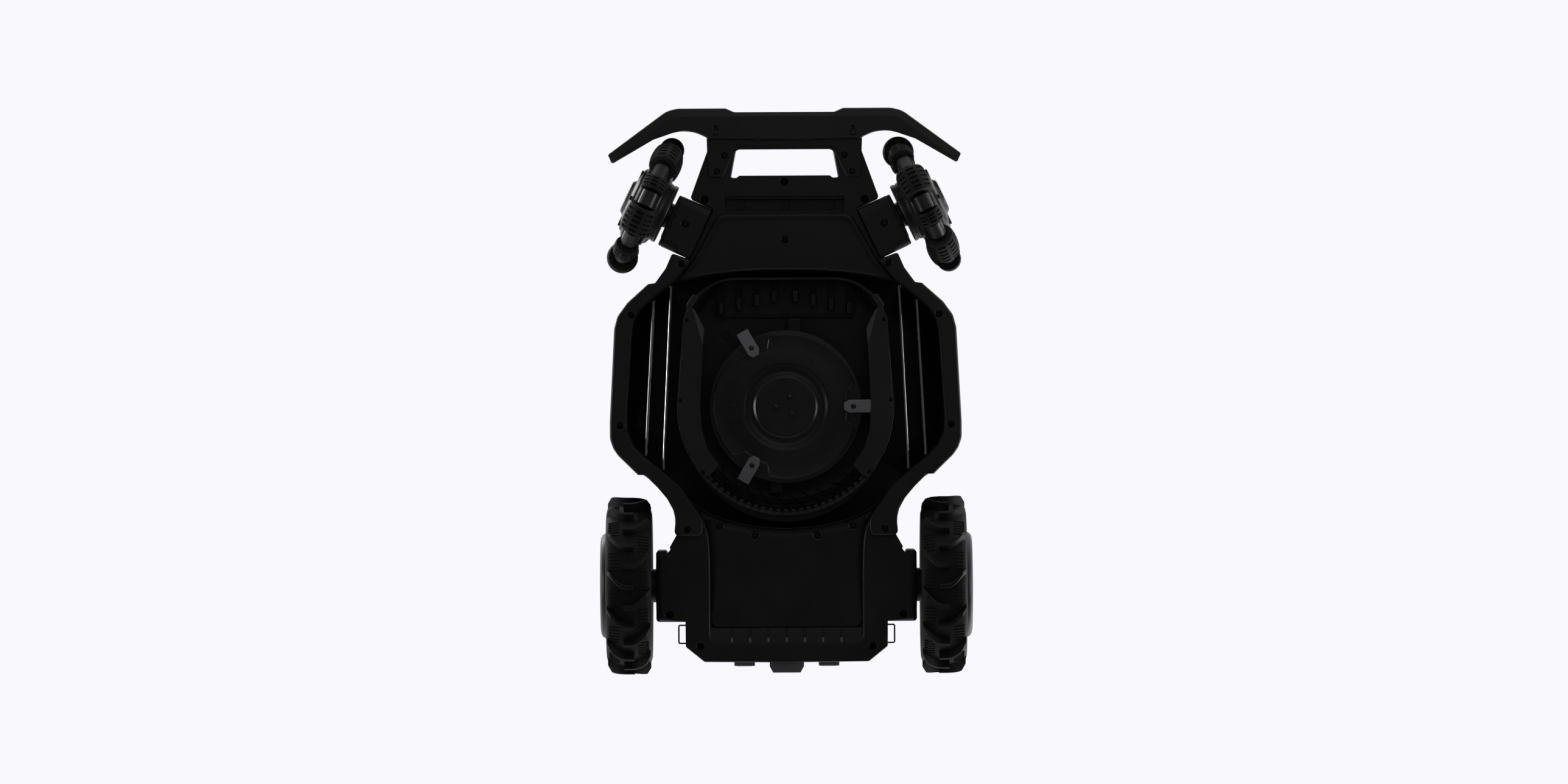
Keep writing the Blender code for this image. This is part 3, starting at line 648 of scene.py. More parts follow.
def make_skirts():
    """A flange and a wall along each side, with four screws in the flange."""
    front_arm = [(109.6, -149.6, 3), (111.0, -153.4, 3), (130.6, -160.5, 3)]
    rear_arm = [(148.9, 110.5, 40), (132.4, 130.2, 40), (128.1, 147.8, 40), (129.5, 163, 6), (126, 167.3, 5),
                (97.3, 167.3, 7), (95.3, 147.8, 30), (121.4, 109.1, 40)]
    outside = front_arm + SKIRT_OUTER + rear_arm[:5]
    inside = rear_arm[5:] + SKIRT_INNER + [(128, -126.6, 3)]
    lip = above(SKIRT_BOTTOM, [(0, 3.2), (0.5, 1.6), (1.5, 0.5), (3.2, 0)])
    wall_line = [(149, -124.5)] + SKIRT_OUTER[2:] + SKIRT_INNER
    screw_points = [(119.8, -148.3), (178.1, -89.4), (191.6, 38.7), (114.8, 159.5)]
    for label, side in SIDES.items():
        points = [(x * side, y, SKIRT_BOTTOM) for x, y in screw_points]
        flange = loft(sided(outside + inside, side), [(0, FRAME_BOTTOM - 0.4)] + lip)
        flange = solve(flange, wells(points, 4.3, 3.6))
        wall = soft_plate(sided(wall_line, side), FRAME_BOTTOM - 0.5, FRAME_TOP - 6.4, 0.8)
        piece(label + "_skirt", joined(flange, wall), "chassis", "skirt", "chassis_plastic",
              [label + "_side_skirt"])
        screws(label + "_skirt_screws", points, 3.8, "chassis", lift=1.4)


def make_guard_rods():
    """Two steel rods on each side, between the deck and the skirt."""
    runs = {"outer": ((152.5, -106.0), (162.4, 74.0)), "inner": ((132.0, -122.5), (142.0, 90.0))}
    height = FRAME_BOTTOM + 4
    for label, side in SIDES.items():
        for place, ends in runs.items():
            bar = cylinder(*[(x * side, y, height) for x, y in ends], 2.0, 24, 0.4)
            name = label + "_" + place
            piece(name + "_rod", bar, "chassis", "rod", "polished_steel", [name + "_guard_rod"])


def make_bracket():
    """The carry handle, with the two pins that guide the bumper's slots."""
    top = FRAME_BOTTOM - 0.35
    bottom = BUMPER_BOTTOM + 5.5
    tab = [(55.5, -279.8, 7), (67.0, -255, 3), (70.4, -248.5, 2.4), (88.5, -248.5, 3.2), (90, -291),
           (90, -311, 2)]
    outline = mirrored([(0, -279.8)] + tab + [(70, -311, 2), (70, -296), (0, -296)])
    points = both((69.7, -273.7, bottom), (78.7, -255, bottom))
    opening = mirrored([(0, -279.8), (55.5, -279.8, 7), (70.0, -248.6), (72, -244), (0, -244)])
    flare = above(bottom, [(-6.4, -1), (-5.8, -0.05), (-3.6, 0.35), (-1.6, 1.5), (-0.4, 3.4), (0.2, 6)])
    cutters = [loft(opening, flare)] + wells(points, 3.9, 2.2, 0.4)
    handle = solve(soft_plate(outline, bottom, top, 0.9), cutters)
    grip_line = mirrored([(0, -295.5), (66, -295.5), (55, -281.2, 6), (0, -281.2)])
    grip = soft_plate(grip_line, top - 0.5, top + 24, 3)
    pins = [cylinder((x, -300, BUMPER_BOTTOM - 0.4), (x, -300, bottom + 1), 2.6, 28, 0.5)
            for x in (-GUIDE_X, GUIDE_X)]
    piece("carry_handle", joined(handle, grip, *pins), *FRAME, ["bumper_bracket"])
    screws("handle_screws", points, 3.4, "chassis", lift=1.1)


def make_bumper():
    """A flat lower bar with two guide slots, and a wall along its front with a seam."""
    nose = [(0, -323.8), (58, -323.8, 6), (68, -328.3, 6), (124, -328.3, 30), (136.7, -325.2, 30),
            (205, -275, 2.5)]
    bulge = smooth([(130, -299.6), (118.3, -301.6), (104, -300), (91.8, -295)])
    lower = mirrored(nose + [(200, -264, 2.5), (152, -292, 8)] + bulge + [(88, -292.4, 3), (0, -291.6)])
    weights = [front_weight(abs(point[0])) if in_front(point) else 0.12 for point in lower]
    bottom = BUMPER_BOTTOM
    base = loft(lower, above(bottom, [(9.2, 0), (8.2, 0.25), (0.7, 2.6), (0.5, 5)]), weights)
    slot = above(bottom, [(-0.9, -1), (-0.8, 0), (0, 0.9), (0, 8)])
    base = solve(base, [loft(capsule(x, -308.3, -297.0, 2.8), slot) for x in (-GUIDE_X, GUIDE_X)])
    back = [(201, -268, 1), (133, -314.5, 30), (124, -317.5, 20), (68, -317.5, 6), (58, -313, 6), (0, -313)]
    wall = mirrored(nose + back)
    weights = [1.0 if in_front(point) else 0.0 for point in wall]
    profile = above(bottom, [(0.9, 2.7), (0.4, 4), (0, 6), (0, 30), (0.9, 31), (0.9, 33), (0, 34)])
    profile += above(BUMPER_TOP, [(0, -12), (1.4, -5), (4.4, -1), (6.6, 0)])
    wall = loft(wall, profile, weights)
    clips = boxes([(at(x, -291.4, bottom + 3.4), (8, 1.6, 3)) for x in (-31, 27)], 0.3)
    bumper = joined(base, wall, clips)
    piece("bumper_bar", bumper, "bumper", "bumper", "chassis_plastic", ["front_bumper"])


def front_weight(x):
    """The chamfer's inner edge is straight, so it is narrower where the nose steps back."""
    if x < 60:
        return 0.55
    return 1.08 if x < 130 else 1.0


def in_front(point):
    """Whether an outline point lies on the bumper's front line rather than on its back."""
    x, y = abs(point[0]), point[1]
    line = -323.0 if x < 60 else -325.0 if x < 128 else -325.7 + (x - 136.7) * 0.742
    return y < line + 5.0


make_front_frame()
make_rear_frame()
make_belly_covers()
make_chamber()
make_skirts()
make_guard_rods()
make_bracket()
make_bumper()


# ---------------------------------------------------------------- drive

REAR_LUGS = 13
LUG_PITCH = 360.0 / REAR_LUGS
OMNI_TOE = math.radians(25.0)
OMNI_X, OMNI_Y, OMNI_RADIUS = 160.4, -216.7, 85.0
ROLLER_CIRCLE = {"big": 66.8, "small": 70.6}
ROLLER_HALF_LENGTH = {"big": 16.0, "small": 7.75}
ROLLER_SLOTS = {"big": 5, "small": 3}
ROLLER_COLUMNS = 8
FIRST_ROLLER = {("left", "big"): 16.0, ("left", "small"): -20.0,
                ("right", "big"): -22.0, ("right", "small"): 14.0}
CONNECTOR_LEAN = 21.6


def middle_of(node):
    """The centre of a CAD node's box, in millimetres."""
    low, high = span(node)
    return (low + high) / 2


def wheel_frame(label, side):
    """The rear wheel's middle: local X down, local Z outwards."""
    return frame_of(middle_of(label + "_rear_tyre"), DOWN, Vector((side, 0, 0)))


def lug(half, row, angle, reach):
    """One tread bar: straight in the middle of the tyre, swept back over its shoulder."""
    stations = [(-6.0, 0.0, reach), (2.0, 0.0, reach), (5.5, -0.3, reach), (10.0, -1.6, reach),
                (14.0, -3.6, reach), (18.0, -6.3, reach - 0.2), (20.6, -8.4, reach - 0.6),
                (half - 1.6, -11.6, reach - 7.5)]
    rings = []
    for across, sweep, top in stations:
        flank = [(88.0, 3.9), (top - 0.7, 2.3), (top, 1.8)]
        ring = []
        for radius, thick in [(r, -t) for r, t in flank] + flank[::-1]:
            turn = math.radians(angle + sweep) + thick / top
            ring.append((radius * math.cos(turn), radius * math.sin(turn), row * across))
        rings.append(ring)
    return skin(rings)


def shoulder_ribs(half, row, angle):
    """Six fine bars across the shoulder, between two lugs."""
    placements = []
    for count in range(6):
        turn = Matrix.Rotation(math.radians(angle + 2.6 + 2.5 * count), 4, "Z")
        lean = Matrix.Rotation(-row * math.radians(10.0), 4, "Y")
        placements.append((turn @ at(92.2, 0, row * (half - 9.4)) @ lean, (2.6, 0.9, 12.6)))
    return boxes(placements, 0.25, 1)


def make_rear_wheel(label, side):
    """A tyre with two staggered rows of lugs, and its cover."""
    place = wheel_frame(label, side)
    low, high = span(label + "_rear_tyre")
    half = (high.x - low.x) / 2
    reach = (high.z - low.z) / 2
    bead = above(half, [(62.35, -6), (65.35, -3.2), (68, -1.6), (76, -0.3), (77, -1.2), (78.5, -1.2),
                        (79.5, -0.1), (84, -0.1), (87.5, -1.2), (90.5, -3.6), (92.4, -7.5), (93.5, -14),
                        (93.9, -20)])
    tyre = [turned(bead + [(radius, -across) for radius, across in bead[::-1]], 104, closed=True)]
    for row, offset in ((1, 0.0), (-1, 0.5)):
        for count in range(REAR_LUGS):
            angle = (count + offset) * LUG_PITCH
            tyre.append(lug(half, row, angle, reach if row > 0 else reach - 0.4))
            tyre.append(shoulder_ribs(half, row, angle))
    tyre = joined(*tyre)
    tyre.data.transform(place @ Matrix.Scale(side, 4, (0, 1, 0)))
    if side < 0:
        tyre.data.flip_normals()
    piece(label + "_rear_tread", tyre, label + "_rear_wheel", "tyre", "tyre_rubber",
          [label + "_rear_tyre"], angle=28)
    make_rear_rim(label, place, half)


def make_rear_rim(label, place, half):
    """The wheel cover with five windows, the rim behind it and its five screws."""
    low, high = span(label + "_rear_rim")
    cap = max(abs(low.x), abs(high.x)) - abs(middle_of(label + "_rear_tyre").x)
    neck = cap - (high.x - low.x)
    face = above(cap, [(0, -2.2), (13, -2.2), (14.5, -0.6), (16, -0.6), (17.5, -2.6), (24, -3.0), (30, -1.0),
                       (33, 0), (52, 0), (56, -0.6), (59, -2.2), (61, -5.0), (62, -8.5)])
    back = above(-half, [(62, 6), (56, 8), (46, 10), (26, 10), (24, 9), (20.5, 8), (19.5, 7)])
    turns = [Matrix.Rotation(math.tau * count / 5, 4, "Z") for count in range(5)]
    shape = rounded([(27, -3.5, 2), (50, -11, 4), (50, 11, 4), (27, 3.5, 2)], 4)
    windows = [loft(shape, [(0, cap + 1), (0, cap - 3.4)]) for _ in turns]
    for window, turn in zip(windows, turns):
        window.data.transform(turn)
    rim = solve(turned(face + back + [(19.5, neck), (0, neck)], 96), windows)
    rim.data.transform(place)
    body = label + "_rear_wheel"
    piece(label + "_wheel_cover", rim, body, "rim", "rim_plastic", [label + "_rear_rim"], angle=26)
    half_turn = Matrix.Rotation(math.tau / 10, 4, "Z")
    spots = [place @ turn @ half_turn @ (Vector((20.5, 0, cap - 3.6)) * MM) for turn in turns]
    axis = place.to_3x3() @ Vector((0, 0, 1))
    screws(label + "_wheel_screws", [spot / MM for spot in spots], 2.6, body, axis=axis)


def make_rear_housings():
    """Flat motor boxes, flush with the frame, with a bearing collar round each wheel's neck."""
    collar = [(23.0, -3.0), (34.0, -3.0), (34.0, -0.3), (33.2, 0.3), (24.0, 0.3), (23.0, -0.6)]
    for label, side in SIDES.items():
        node = label + "_rear_motor_housing"
        low, high = span(node)
        outer = max(abs(low.x), abs(high.x))
        inside = [(110, high.y), (110, 181.0), (133.5, 181.0, 2), (138.0, low.y + 4, 3), (140.0, low.y, 2)]
        outline = sided(inside + [(outer, low.y, 4), (outer, high.y, 4)], side)
        weights = [0.0, 0.0, 0.0, 0.0, 0.1, 1.0, 1.0]
        profile = above(low.z, [(7.0, -0.05), (3.4, 0.5), (1.0, 2.0), (0, 5)])
        profile += above(high.z, [(0, -5), (1.0, -1.5), (4.0, 0)])
        spot = (135.9 * side, 258.4, low.z + 0.4)
        block = solve(loft(outline, profile, weights), wells([spot], 4.4, 9))
        place = frame_of((outer * side, *middle_of("left_rear_tyre").yz), DOWN, Vector((side, 0, 0)))
        box = joined(block, turned(collar, 72, place, closed=True))
        piece(label + "_rear_motor_box", box, "chassis", "frame", "housing_plastic", [node])
        screws(label + "_rear_motor_screw", [spot], 3.8, "chassis", lift=3.6)


# ---------------------------------------------------------------- omni wheels

def omni_frame(side):
    """Middle of an omni wheel, toed in: local X down, local Z outwards."""
    outward = Vector((side * math.cos(OMNI_TOE), -math.sin(OMNI_TOE), 0))
    return frame_of((side * OMNI_X, OMNI_Y, OMNI_RADIUS), DOWN, outward)


def wheel_place(frame, circle, angle):
    """On a wheel's circle: local X outwards along the radius, local Z along the rim."""
    turn = Matrix.Rotation(angle, 4, "Z")
    swap = Matrix(((1, 0, 0, 0), (0, 0, 1, 0), (0, -1, 0, 0), (0, 0, 0, 1)))
    return frame @ turn @ Matrix.Translation((circle * MM, 0, 0)) @ swap


def roller_rows(kind):
    """Positions along a roller, each with whether it lies in a row of slots."""
    half = ROLLER_HALF_LENGTH[kind]
    pitch = 2 * (half - 1.4) / ROLLER_SLOTS[kind]
    wall = 0.12
    rows = [(-half, False)]
    for slot in range(ROLLER_SLOTS[kind]):
        start = -half + 1.4 + (slot + 0.32) * pitch
        stop = start + pitch * 0.36
        rows += [(start - wall, False), (start + wall, True), (stop - wall, True), (stop + wall, False)]
    return rows + [(half, False)]


def roller(kind):
    """A barrel roller whose rubber has rows of slots with lands between them."""
    half = ROLLER_HALF_LENGTH[kind]
    turns = [(math.radians(column * 360.0 / ROLLER_COLUMNS + angle), angle > 14)
             for column in range(ROLLER_COLUMNS) for angle in (0, 7, 14, 15, 25, 34.5, 44)]
    rings = []
    for height, low_row in roller_rows(kind):
        outer = math.sqrt(OMNI_RADIUS ** 2 - height ** 2) - ROLLER_CIRCLE[kind]
        outer -= 0.8 if abs(height) >= half else 0.0
        radii = [outer - 2.0 if low_row and cut else outer for _, cut in turns]
        rings.append([(radius * math.cos(turn), radius * math.sin(turn), height)
                      for radius, (turn, _) in zip(radii, turns)])
    for radius, depth in ((11.0, 0.0), (10.6, 0.5), (10.4, 1.3)):
        cup = [(radius * math.cos(turn), radius * math.sin(turn)) for turn, _ in turns]
        rings.append([(x, y, half - depth) for x, y in cup])
        rings.insert(0, [(x, y, depth - half) for x, y in cup])
    return skin(rings)


def make_rollers(label, side, frame):
    """Five big and five small rollers, each on its own body."""
    for kind in ("big", "small"):
        shape = roller(kind)
        for count in range(5):
            angle = math.radians(FIRST_ROLLER[label, kind] + 72.0 * count) * side
            node = "_".join((label, kind, "roller", str(count + 1)))
            obj = bpy.data.objects.new(node, shape.data.copy())
            spin = Matrix.Rotation(math.radians(100 + 17.0 * count), 4, "Z")
            obj.data.transform(wheel_place(frame, ROLLER_CIRCLE[kind], angle) @ spin)
            piece(node + "_rubber", obj, node, "roller", "roller_rubber", [node], angle=40)
        bpy.data.objects.remove(shape, do_unlink=True)


def make_omni_hub(label, side, frame):
    """The hub with its ten arms, which hold the rollers' pins."""
    core = [(0, 24.4), (7, 24.4), (8, 25.7), (17, 25.7), (19.2, 24.8), (20, 23.4), (22, 21.4), (36.5, 18.6),
            (38.6, 17.2), (39.4, 15.4), (44.6, 13.0), (45.6, 11.6), (45.6, -11.6), (44.6, -13), (36, -16.4),
            (35.2, -17.4), (35.2, -19.2), (34.2, -20), (34.2, -21), (35.2, -21.8), (35.2, -24.8), (34.0, -26),
            (16, -26), (15, -27), (15, -30.6), (0, -30.6)]
    arm = [(0, -9.3), (8.9, -9.3), (9.7, -8.6), (9.7, 8.6), (8.9, 9.3), (0, 9.3)]
    hub = [turned(core, 96, frame)]
    pins = []
    for gap in range(10):
        lean = CONNECTOR_LEAN if gap % 2 else -CONNECTOR_LEAN
        angle = math.radians(FIRST_ROLLER[label, "big"] + 72.0 * (gap // 2) + lean) * side
        place = wheel_place(frame, 67.0, angle)
        hub.append(turned(arm, 40, place))
        hub.append(boxes([(wheel_place(frame, 51.5, angle), (26, 14, 11.5))], 2.0, 3))
        inward_y = 9.2 if place.to_3x3()[0][1] * side < 0 else -9.2
        pins.append(place @ (Vector((3.2, inward_y, 0)) * MM) / MM)
    for count in range(5):
        turn = Matrix.Rotation(math.tau * count / 5, 4, "Z")
        hub.append(boxes([(frame @ turn @ at(29.5, 0, 19.9), (14, 5.2, 2.6))], 1.0, 2))
    body = label + "_omni_wheel"
    piece(label + "_omni_core", joined(*hub), body, "hub", "hub_plastic", [label + "_omni_hub"], angle=30)
    screws(label + "_omni_pins", pins, 1.5, body, axis=frame.to_3x3() @ DOWN)


def make_front_housing(label, side, frame):
    """A motor box with round lower and upper edges, split by a fine seam."""
    node = label + "_front_motor_housing"
    corners = [(29, -27 * side, 9), (29, 36 * side, 9), (-33, 36 * side, 9), (-33, -27 * side, 9)]
    profile = [(1.2, -71.6), (0.2, -71.2), (0, -70), (0, -35.0), (0.9, -34.6), (0.9, -33.9), (0.2, -33.4),
               (0.2, -32.2), (1.2, -31.4)]
    pod = loft(corners, profile, steps=8)
    pod.data.transform(frame)
    notches = [boxes([(frame @ at(28, side * y, -34.5), (6, 3.2, 5.4))]) for y in (-2.0, 12.0)]
    spot = frame @ (Vector((29, side * 1.0, -50)) * MM) / MM
    pod = solve(pod, notches + wells([spot], 4.4, 2.6))
    tab = boxes([(frame @ at(28.2, side * 29.0, -61.5), (2.4, 13, 19))], 0.7, 2)
    collar = turned([(27, -34), (27, -30.8), (26, -30.2), (16.2, -30.2), (16.2, -34)], 64, frame, closed=True)
    pod = joined(pod, tab, collar)
    piece(label + "_front_motor_pod", pod, "chassis", "frame", "housing_plastic", [node])
    screws(label + "_front_motor_screw", [spot], 3.8, "chassis", lift=1.2)


make_rear_housings()
for label, side in SIDES.items():
    make_rear_wheel(label, side)
    omni = omni_frame(side)
    make_front_housing(label, side, omni)
    make_omni_hub(label, side, omni)
    make_rollers(label, side, omni)


# ---------------------------------------------------------------- cutting deck

DECK_BOTTOM = height_of("deck_housing", 0)
DECK_TOP = height_of("deck_housing", 1)
DECK_CEILING = DECK_TOP - 3.0
DECK_Y = middle_of("blade_motor").y
RECESS_SPOT = (-68.7, -65.1)
DISC_FACE = 44.0
BLADE_RADIUS = 78.4
GUARD_BOTTOM = height_of("right_guard_plate", 0)
GUARD_TOP = height_of("right_guard_plate", 1)
LATTICE_INNER = 99.0
LATTICE_TWIST = 11.0 / 18.0


def polar(radius, degrees):
    """A point about the disc's axis; 0 degrees is to the right and 90 is to the rear."""
    turn = math.radians(degrees)
    return (radius * math.cos(turn), DECK_Y + radius * math.sin(turn))


def make_deck():
    """The deck's hood with its rim and the two arms that it hangs from."""
    rear = [(*polar(125.5, angle), 0.0) for angle in range(0, 90, 6)]
    corner = [(65, -131.4, 70), (83, -126.4, 70), (103, -112.4, 60), (114, -98, 50), (119.6, -60, 120)]
    outline = mirrored([(0, -131.4)] + corner + rear + [(0, DECK_Y + 125.5)])
    weights = [min(max((point[1] + 132) / 24, 0.1), 1.0) for point in outline]
    profile = above(DECK_TOP, [(3, 0), (0.8, -0.6), (0, -3)])
    profile += above(DECK_BOTTOM, [(0, 1), (0.7, 0), (2.2, 0), (3, 1), (4, 10), (6.5, 21), (11, 31),
                                   (18, 38)])
    hood = loft(outline, profile + [(28, DECK_CEILING)], weights, 12)
    hood = solve(hood, wells([(*RECESS_SPOT, DECK_CEILING)], 4.4, 2.2))
    arms = boxes([(at(11, -68, 66), (14, 34, 13)), (at(-10.8, 101.5, 66), (13.5, 33, 13))], 1.2, 3)
    rim = ring_of(outline, 0.0, 2.2, DECK_BOTTOM - 0.2, DECK_BOTTOM + 3)
    piece("deck_hood", joined(hood, rim, arms), "deck", "deck", "deck_plastic", ["deck_housing"], angle=28)
    make_deck_channel()


def make_deck_channel():
    """The dark parts of the deck: a channel round the disc, a recess floor and a crescent flange."""
    crescent = [polar(125.4 + 8.0 * math.cos(math.radians((angle - 90) * 1.5)), angle)
                for angle in range(32, 149, 4)]
    flange = soft_plate(crescent + arc((0, DECK_Y), 125.0, 148, 32, 24), 64, 72, 0.2)
    ring = arc((0, DECK_Y), 101, -22, 202, 60) + arc((0, DECK_Y), 58, 202, -22, 40)
    channel = plate(ring, DECK_CEILING - 1.6, DECK_CEILING - 0.2)
    floor = cylinder((*RECESS_SPOT, DECK_CEILING + 1), (*RECESS_SPOT, DECK_CEILING + 2), 4.2)
    piece("deck_channel", joined(channel, floor, flange), "deck", "chamber", "deck_plastic")


def wall_height(radius):
    """Height of the deck's rounded rear wall where the lattice tiles lie on it."""
    stops = above(DECK_BOTTOM, [(107.5, 38), (114.5, 31), (119.0, 21), (121.5, 10), (124.0, 1)])
    stops.insert(0, (97.5, DECK_CEILING))
    for (near, high), (far, low) in zip(stops, stops[1:]):
        if radius <= far:
            return high + (low - high) * (radius - near) / (far - near)
    return stops[-1][1]


def lattice_tile(inner, outer, start, end, lift):
    """A leaning tile on the deck's rear wall, between two radii and two angles."""
    corners = [(radius, *polar(radius, angle - (radius - LATTICE_INNER) * LATTICE_TWIST))
               for radius, angle in ((inner, start), (inner, end), (outer, end), (outer, start))]
    return skin([[(x, y, wall_height(radius) - depth) for radius, x, y in corners]
                 for depth in (lift, lift - 2.4)], edge=0.3)


def make_lattice():
    """Eleven columns of leaning tiles, and two rows of teeth at their foot."""
    pitch = 9.4
    starts = [43.5 + count * pitch for count in range(11)]
    bands = ((LATTICE_INNER, 107.5), (107.5, 112.4), (113.2, 118.0))
    tiles = [lattice_tile(*band, start + 0.5, start + pitch - 0.5, 2.2) for start in starts for band in bands]
    teeth = []
    for count in range(27):
        turn = Matrix.Rotation(math.radians(35.5 + 4.2 * count), 4, "Z")
        for radius, width, height in ((120.3, 4.6, 3.0), (123.9, 5.8, 0.8)):
            teeth.append((at(0, DECK_Y, DECK_BOTTOM + height) @ turn @ at(radius, 0, 0), (3.4, width, 3.2)))
    # The tiles and teeth take the lightened lattice colour, painted light in place of light falling into the
    # deck's shade.
    piece("deck_lattice", joined(*tiles, boxes(teeth, 0.4)), "deck", "lattice", "deck_plastic")


def fold_up(obj, point, normal, slope):
    """Folds the part of a plate beyond a line upwards."""
    away = Vector((*normal, 0)).normalized()
    start = Vector((*point, 0)) * MM
    bm = bmesh.new()
    bm.from_mesh(obj.data)
    bmesh.ops.bisect_plane(bm, geom=bm.verts[:] + bm.edges[:] + bm.faces[:], plane_co=start, plane_no=away)
    for vertex in bm.verts:
        vertex.co.z += max((vertex.co - start).dot(away), 0.0) * slope
    bm.to_mesh(obj.data)
    bm.free()


def make_guards():
    """The two side plates of the deck, folded up at their front ends."""
    outer = [(*polar(123.9, angle), 0.0) for angle in (0, 10, 20, 30)] + [(91.5, 100.8, 4)]
    inner = [(77.2, 84.8, 4), (89.9, 68.3, 20), (97.0, 44.0, 30), (98.9, 15.7, 20)]
    front = [(95.4, -53.0, 8), (93.3, -73.2, 9), (105.0, -96.0, 6), (112.0, -97.8, 7), (117.8, -86.0, 12),
             (119.8, -59.0, 30)]
    points = [(113.8, -83.1), (121.3, 9.7), (95.6, 93.1)]
    for label, side in SIDES.items():
        guard = soft_plate(sided(outer + inner + front, side), GUARD_BOTTOM, GUARD_TOP, 0.8)
        spots = [(x * side, y, GUARD_BOTTOM) for x, y in points]
        guard = solve(guard, wells(spots, 2.5, 1.6, 0.25))
        fold_up(guard, (106.4 * side, -93.4), (-0.96 * side, -0.27), 0.8)
        turn = Matrix.Rotation(math.radians(-34 * side), 4, "Z")
        link = boxes([(at(107.6 * side, -104.4, DECK_BOTTOM + 1.6) @ turn, (7, 17, 5))], 1.8, 3)
        piece(label + "_guard", joined(guard, link), "deck", "guard", "deck_plastic",
              [label + "_guard_plate"], angle=24)
        screws(label + "_guard_screws", spots, 2.3, "deck", lift=0.5)


def make_comb():
    """The front panel of the deck, with four slots and teeth on each side."""
    low, high = span("front_comb")
    bottom, top = low.z, high.z
    corners = mirrored([(0, -129.0), (80.6, -129.0, 17), (80.6, -85.6, 4), (0, -85.6)])
    spots = [(12.4, -103.5, -125.6), (32.9, -99.0, -125.6), (53.7, -94.4, -125.6), (74.5, -89.3, -119.0)]
    teeth, pads, slots, floors, lips = [], [], [], [], []
    for x, rear, front in both(*spots):
        middle, length = (front + rear) / 2, rear - front
        teeth.append((at(x, rear - 7.0, (bottom + top - 2) / 2), (5.5, 14, top - 2 - bottom)))
        pads.append((at(x, rear - 7.0, bottom + 0.1), (3.5, 11.8, 1.2)))
        slots.append(boxes([(at(x, middle, top - 3), (7.2, length, 8))]))
        floors.append((at(x, middle, top - 0.5), (8.0, length, 0.8)))
        lips.append((at(x - 4.2, middle - 1, top - 4.6), (0.9, length, 1.6)))
    panel = solve(soft_plate(corners, top - 4, top, 0.7), slots)
    boss = [(0, -4.9), (3.4, -4.9), (4.0, -4.4), (4.0, -3.0), (0, -3.0)]
    bosses = [turned(boss, 32, at(-1.0, y, top)) for y in (-122.3, -92.8)]
    ring = ring_of(corners, 2.0, 3.4, top - 5.0, top - 3.6)
    comb = joined(panel, boxes(teeth, 0.9, 3), boxes(pads, 0.4, 2), *bosses, boxes(lips, 0.3), ring)
    piece("comb_panel", comb, "deck", "deck", "deck_plastic", ["front_comb"])
    piece("comb_slots", boxes(floors), "deck", "chamber", "deck_plastic")


def ring_of(corners, outer, inner, bottom, top):
    """A frame that follows an outline between two insets."""
    section = [(outer, top), (outer, bottom + 0.3), (outer + 0.3, bottom), (inner - 0.3, bottom),
               (inner, bottom + 0.3), (inner, top)]
    rings = [[(x, y, height) for x, y in rounded(inset(corners, distance))] for distance, height in section]
    return skin(rings, closed=True)


def contour(degrees):
    """Radius of the disc's raised edge, which steps in around each blade."""
    away = abs((degrees + 60.0) % 120.0 - 60.0)
    step = min(max((away - 11.5) / 6.5, 0.0), 1.0)
    step = step * step * (3.0 - 2.0 * step)
    return 71.8 + 12.2 * step


def disc_shape():
    """The disc's turned body, whose raised edge steps in around the blades."""
    top = height_of("blade_disc", 1) - DISC_FACE
    back = [(6, top), (6, 9), (34, 9), (70, 8), (86, 6), (88, 4.4), (88.4, 3.4), (88.4, 2.4), (87.9, 1.8),
            (86.8, 1.6)]
    edge = [(0.4, 1.6), (0.0, 1.3), (-0.5, 0.5), (-1.3, 0.15), (-2.2, 0.5), (-3.2, 1.0)]
    face = [(67.6, 0.95), (66, 0.55), (52, 0.2), (49.8, 0.25), (48.2, 0.8), (45.5, 2.6), (43, 3.3), (39, 3.3),
            (36.8, 2.4), (35.2, 0.8), (34.2, 0.2), (32.5, 0)]
    angles = [360.0 * step / 300 for step in range(300)]
    rings = []
    for section, follows in ((back, 0), (edge, 1), (face, 0)):
        for radius, height in section:
            points = [polar(radius + follows * contour(angle), angle) for angle in angles]
            rings.append([(x, y, DISC_FACE + height) for x, y in points])
    return skin(rings)


def make_disc():
    """The blade disc with the ribs beside its blades, its bushes, dimples and screws."""
    thirds = (0, 120, 240)
    ribs = []
    for angle in thirds:
        turn = at(0, DECK_Y, DISC_FACE + 1.4) @ Matrix.Rotation(math.radians(angle), 4, "Z")
        ribs += [(turn @ at(radius, offset, 0), (0.8, 5.4, 1.6))
                 for radius in (73.6, 76.2, 80.2, 83.0) for offset in (11.2, -10.4)]
    bush = [(0, -0.2), (4.4, -0.2), (5.2, 1.8), (0, 1.8)]
    bushes = [turned(bush, 32, at(*polar(BLADE_RADIUS, angle), DISC_FACE)) for angle in thirds]
    dimple = [(1.2, 0.6), (1.2, 0), (2.0, -0.2), (2.8, 0.1), (2.8, 0.6)]
    dimples = [turned(dimple, 24, at(*polar(61.0, angle + 60), DISC_FACE), closed=True) for angle in thirds]
    disc = joined(disc_shape(), boxes(ribs, 0.3, 2), *bushes, *dimples)
    piece("cutting_disc", disc, "blade_disc", "disc", "disc_plastic", ["blade_disc"], angle=40)
    hub = [(*polar(11.7, angle), DISC_FACE - 1.4) for angle in (-67, -184, 52)]
    screws("disc_hub_screws", hub, 3.0, "blade_disc", "bright_screw")
    pivots = [(*polar(BLADE_RADIUS, angle), DISC_FACE - 3.4) for angle in thirds]
    screws("blade_pivots", pivots, 2.9, "blade_disc", "bright_screw")


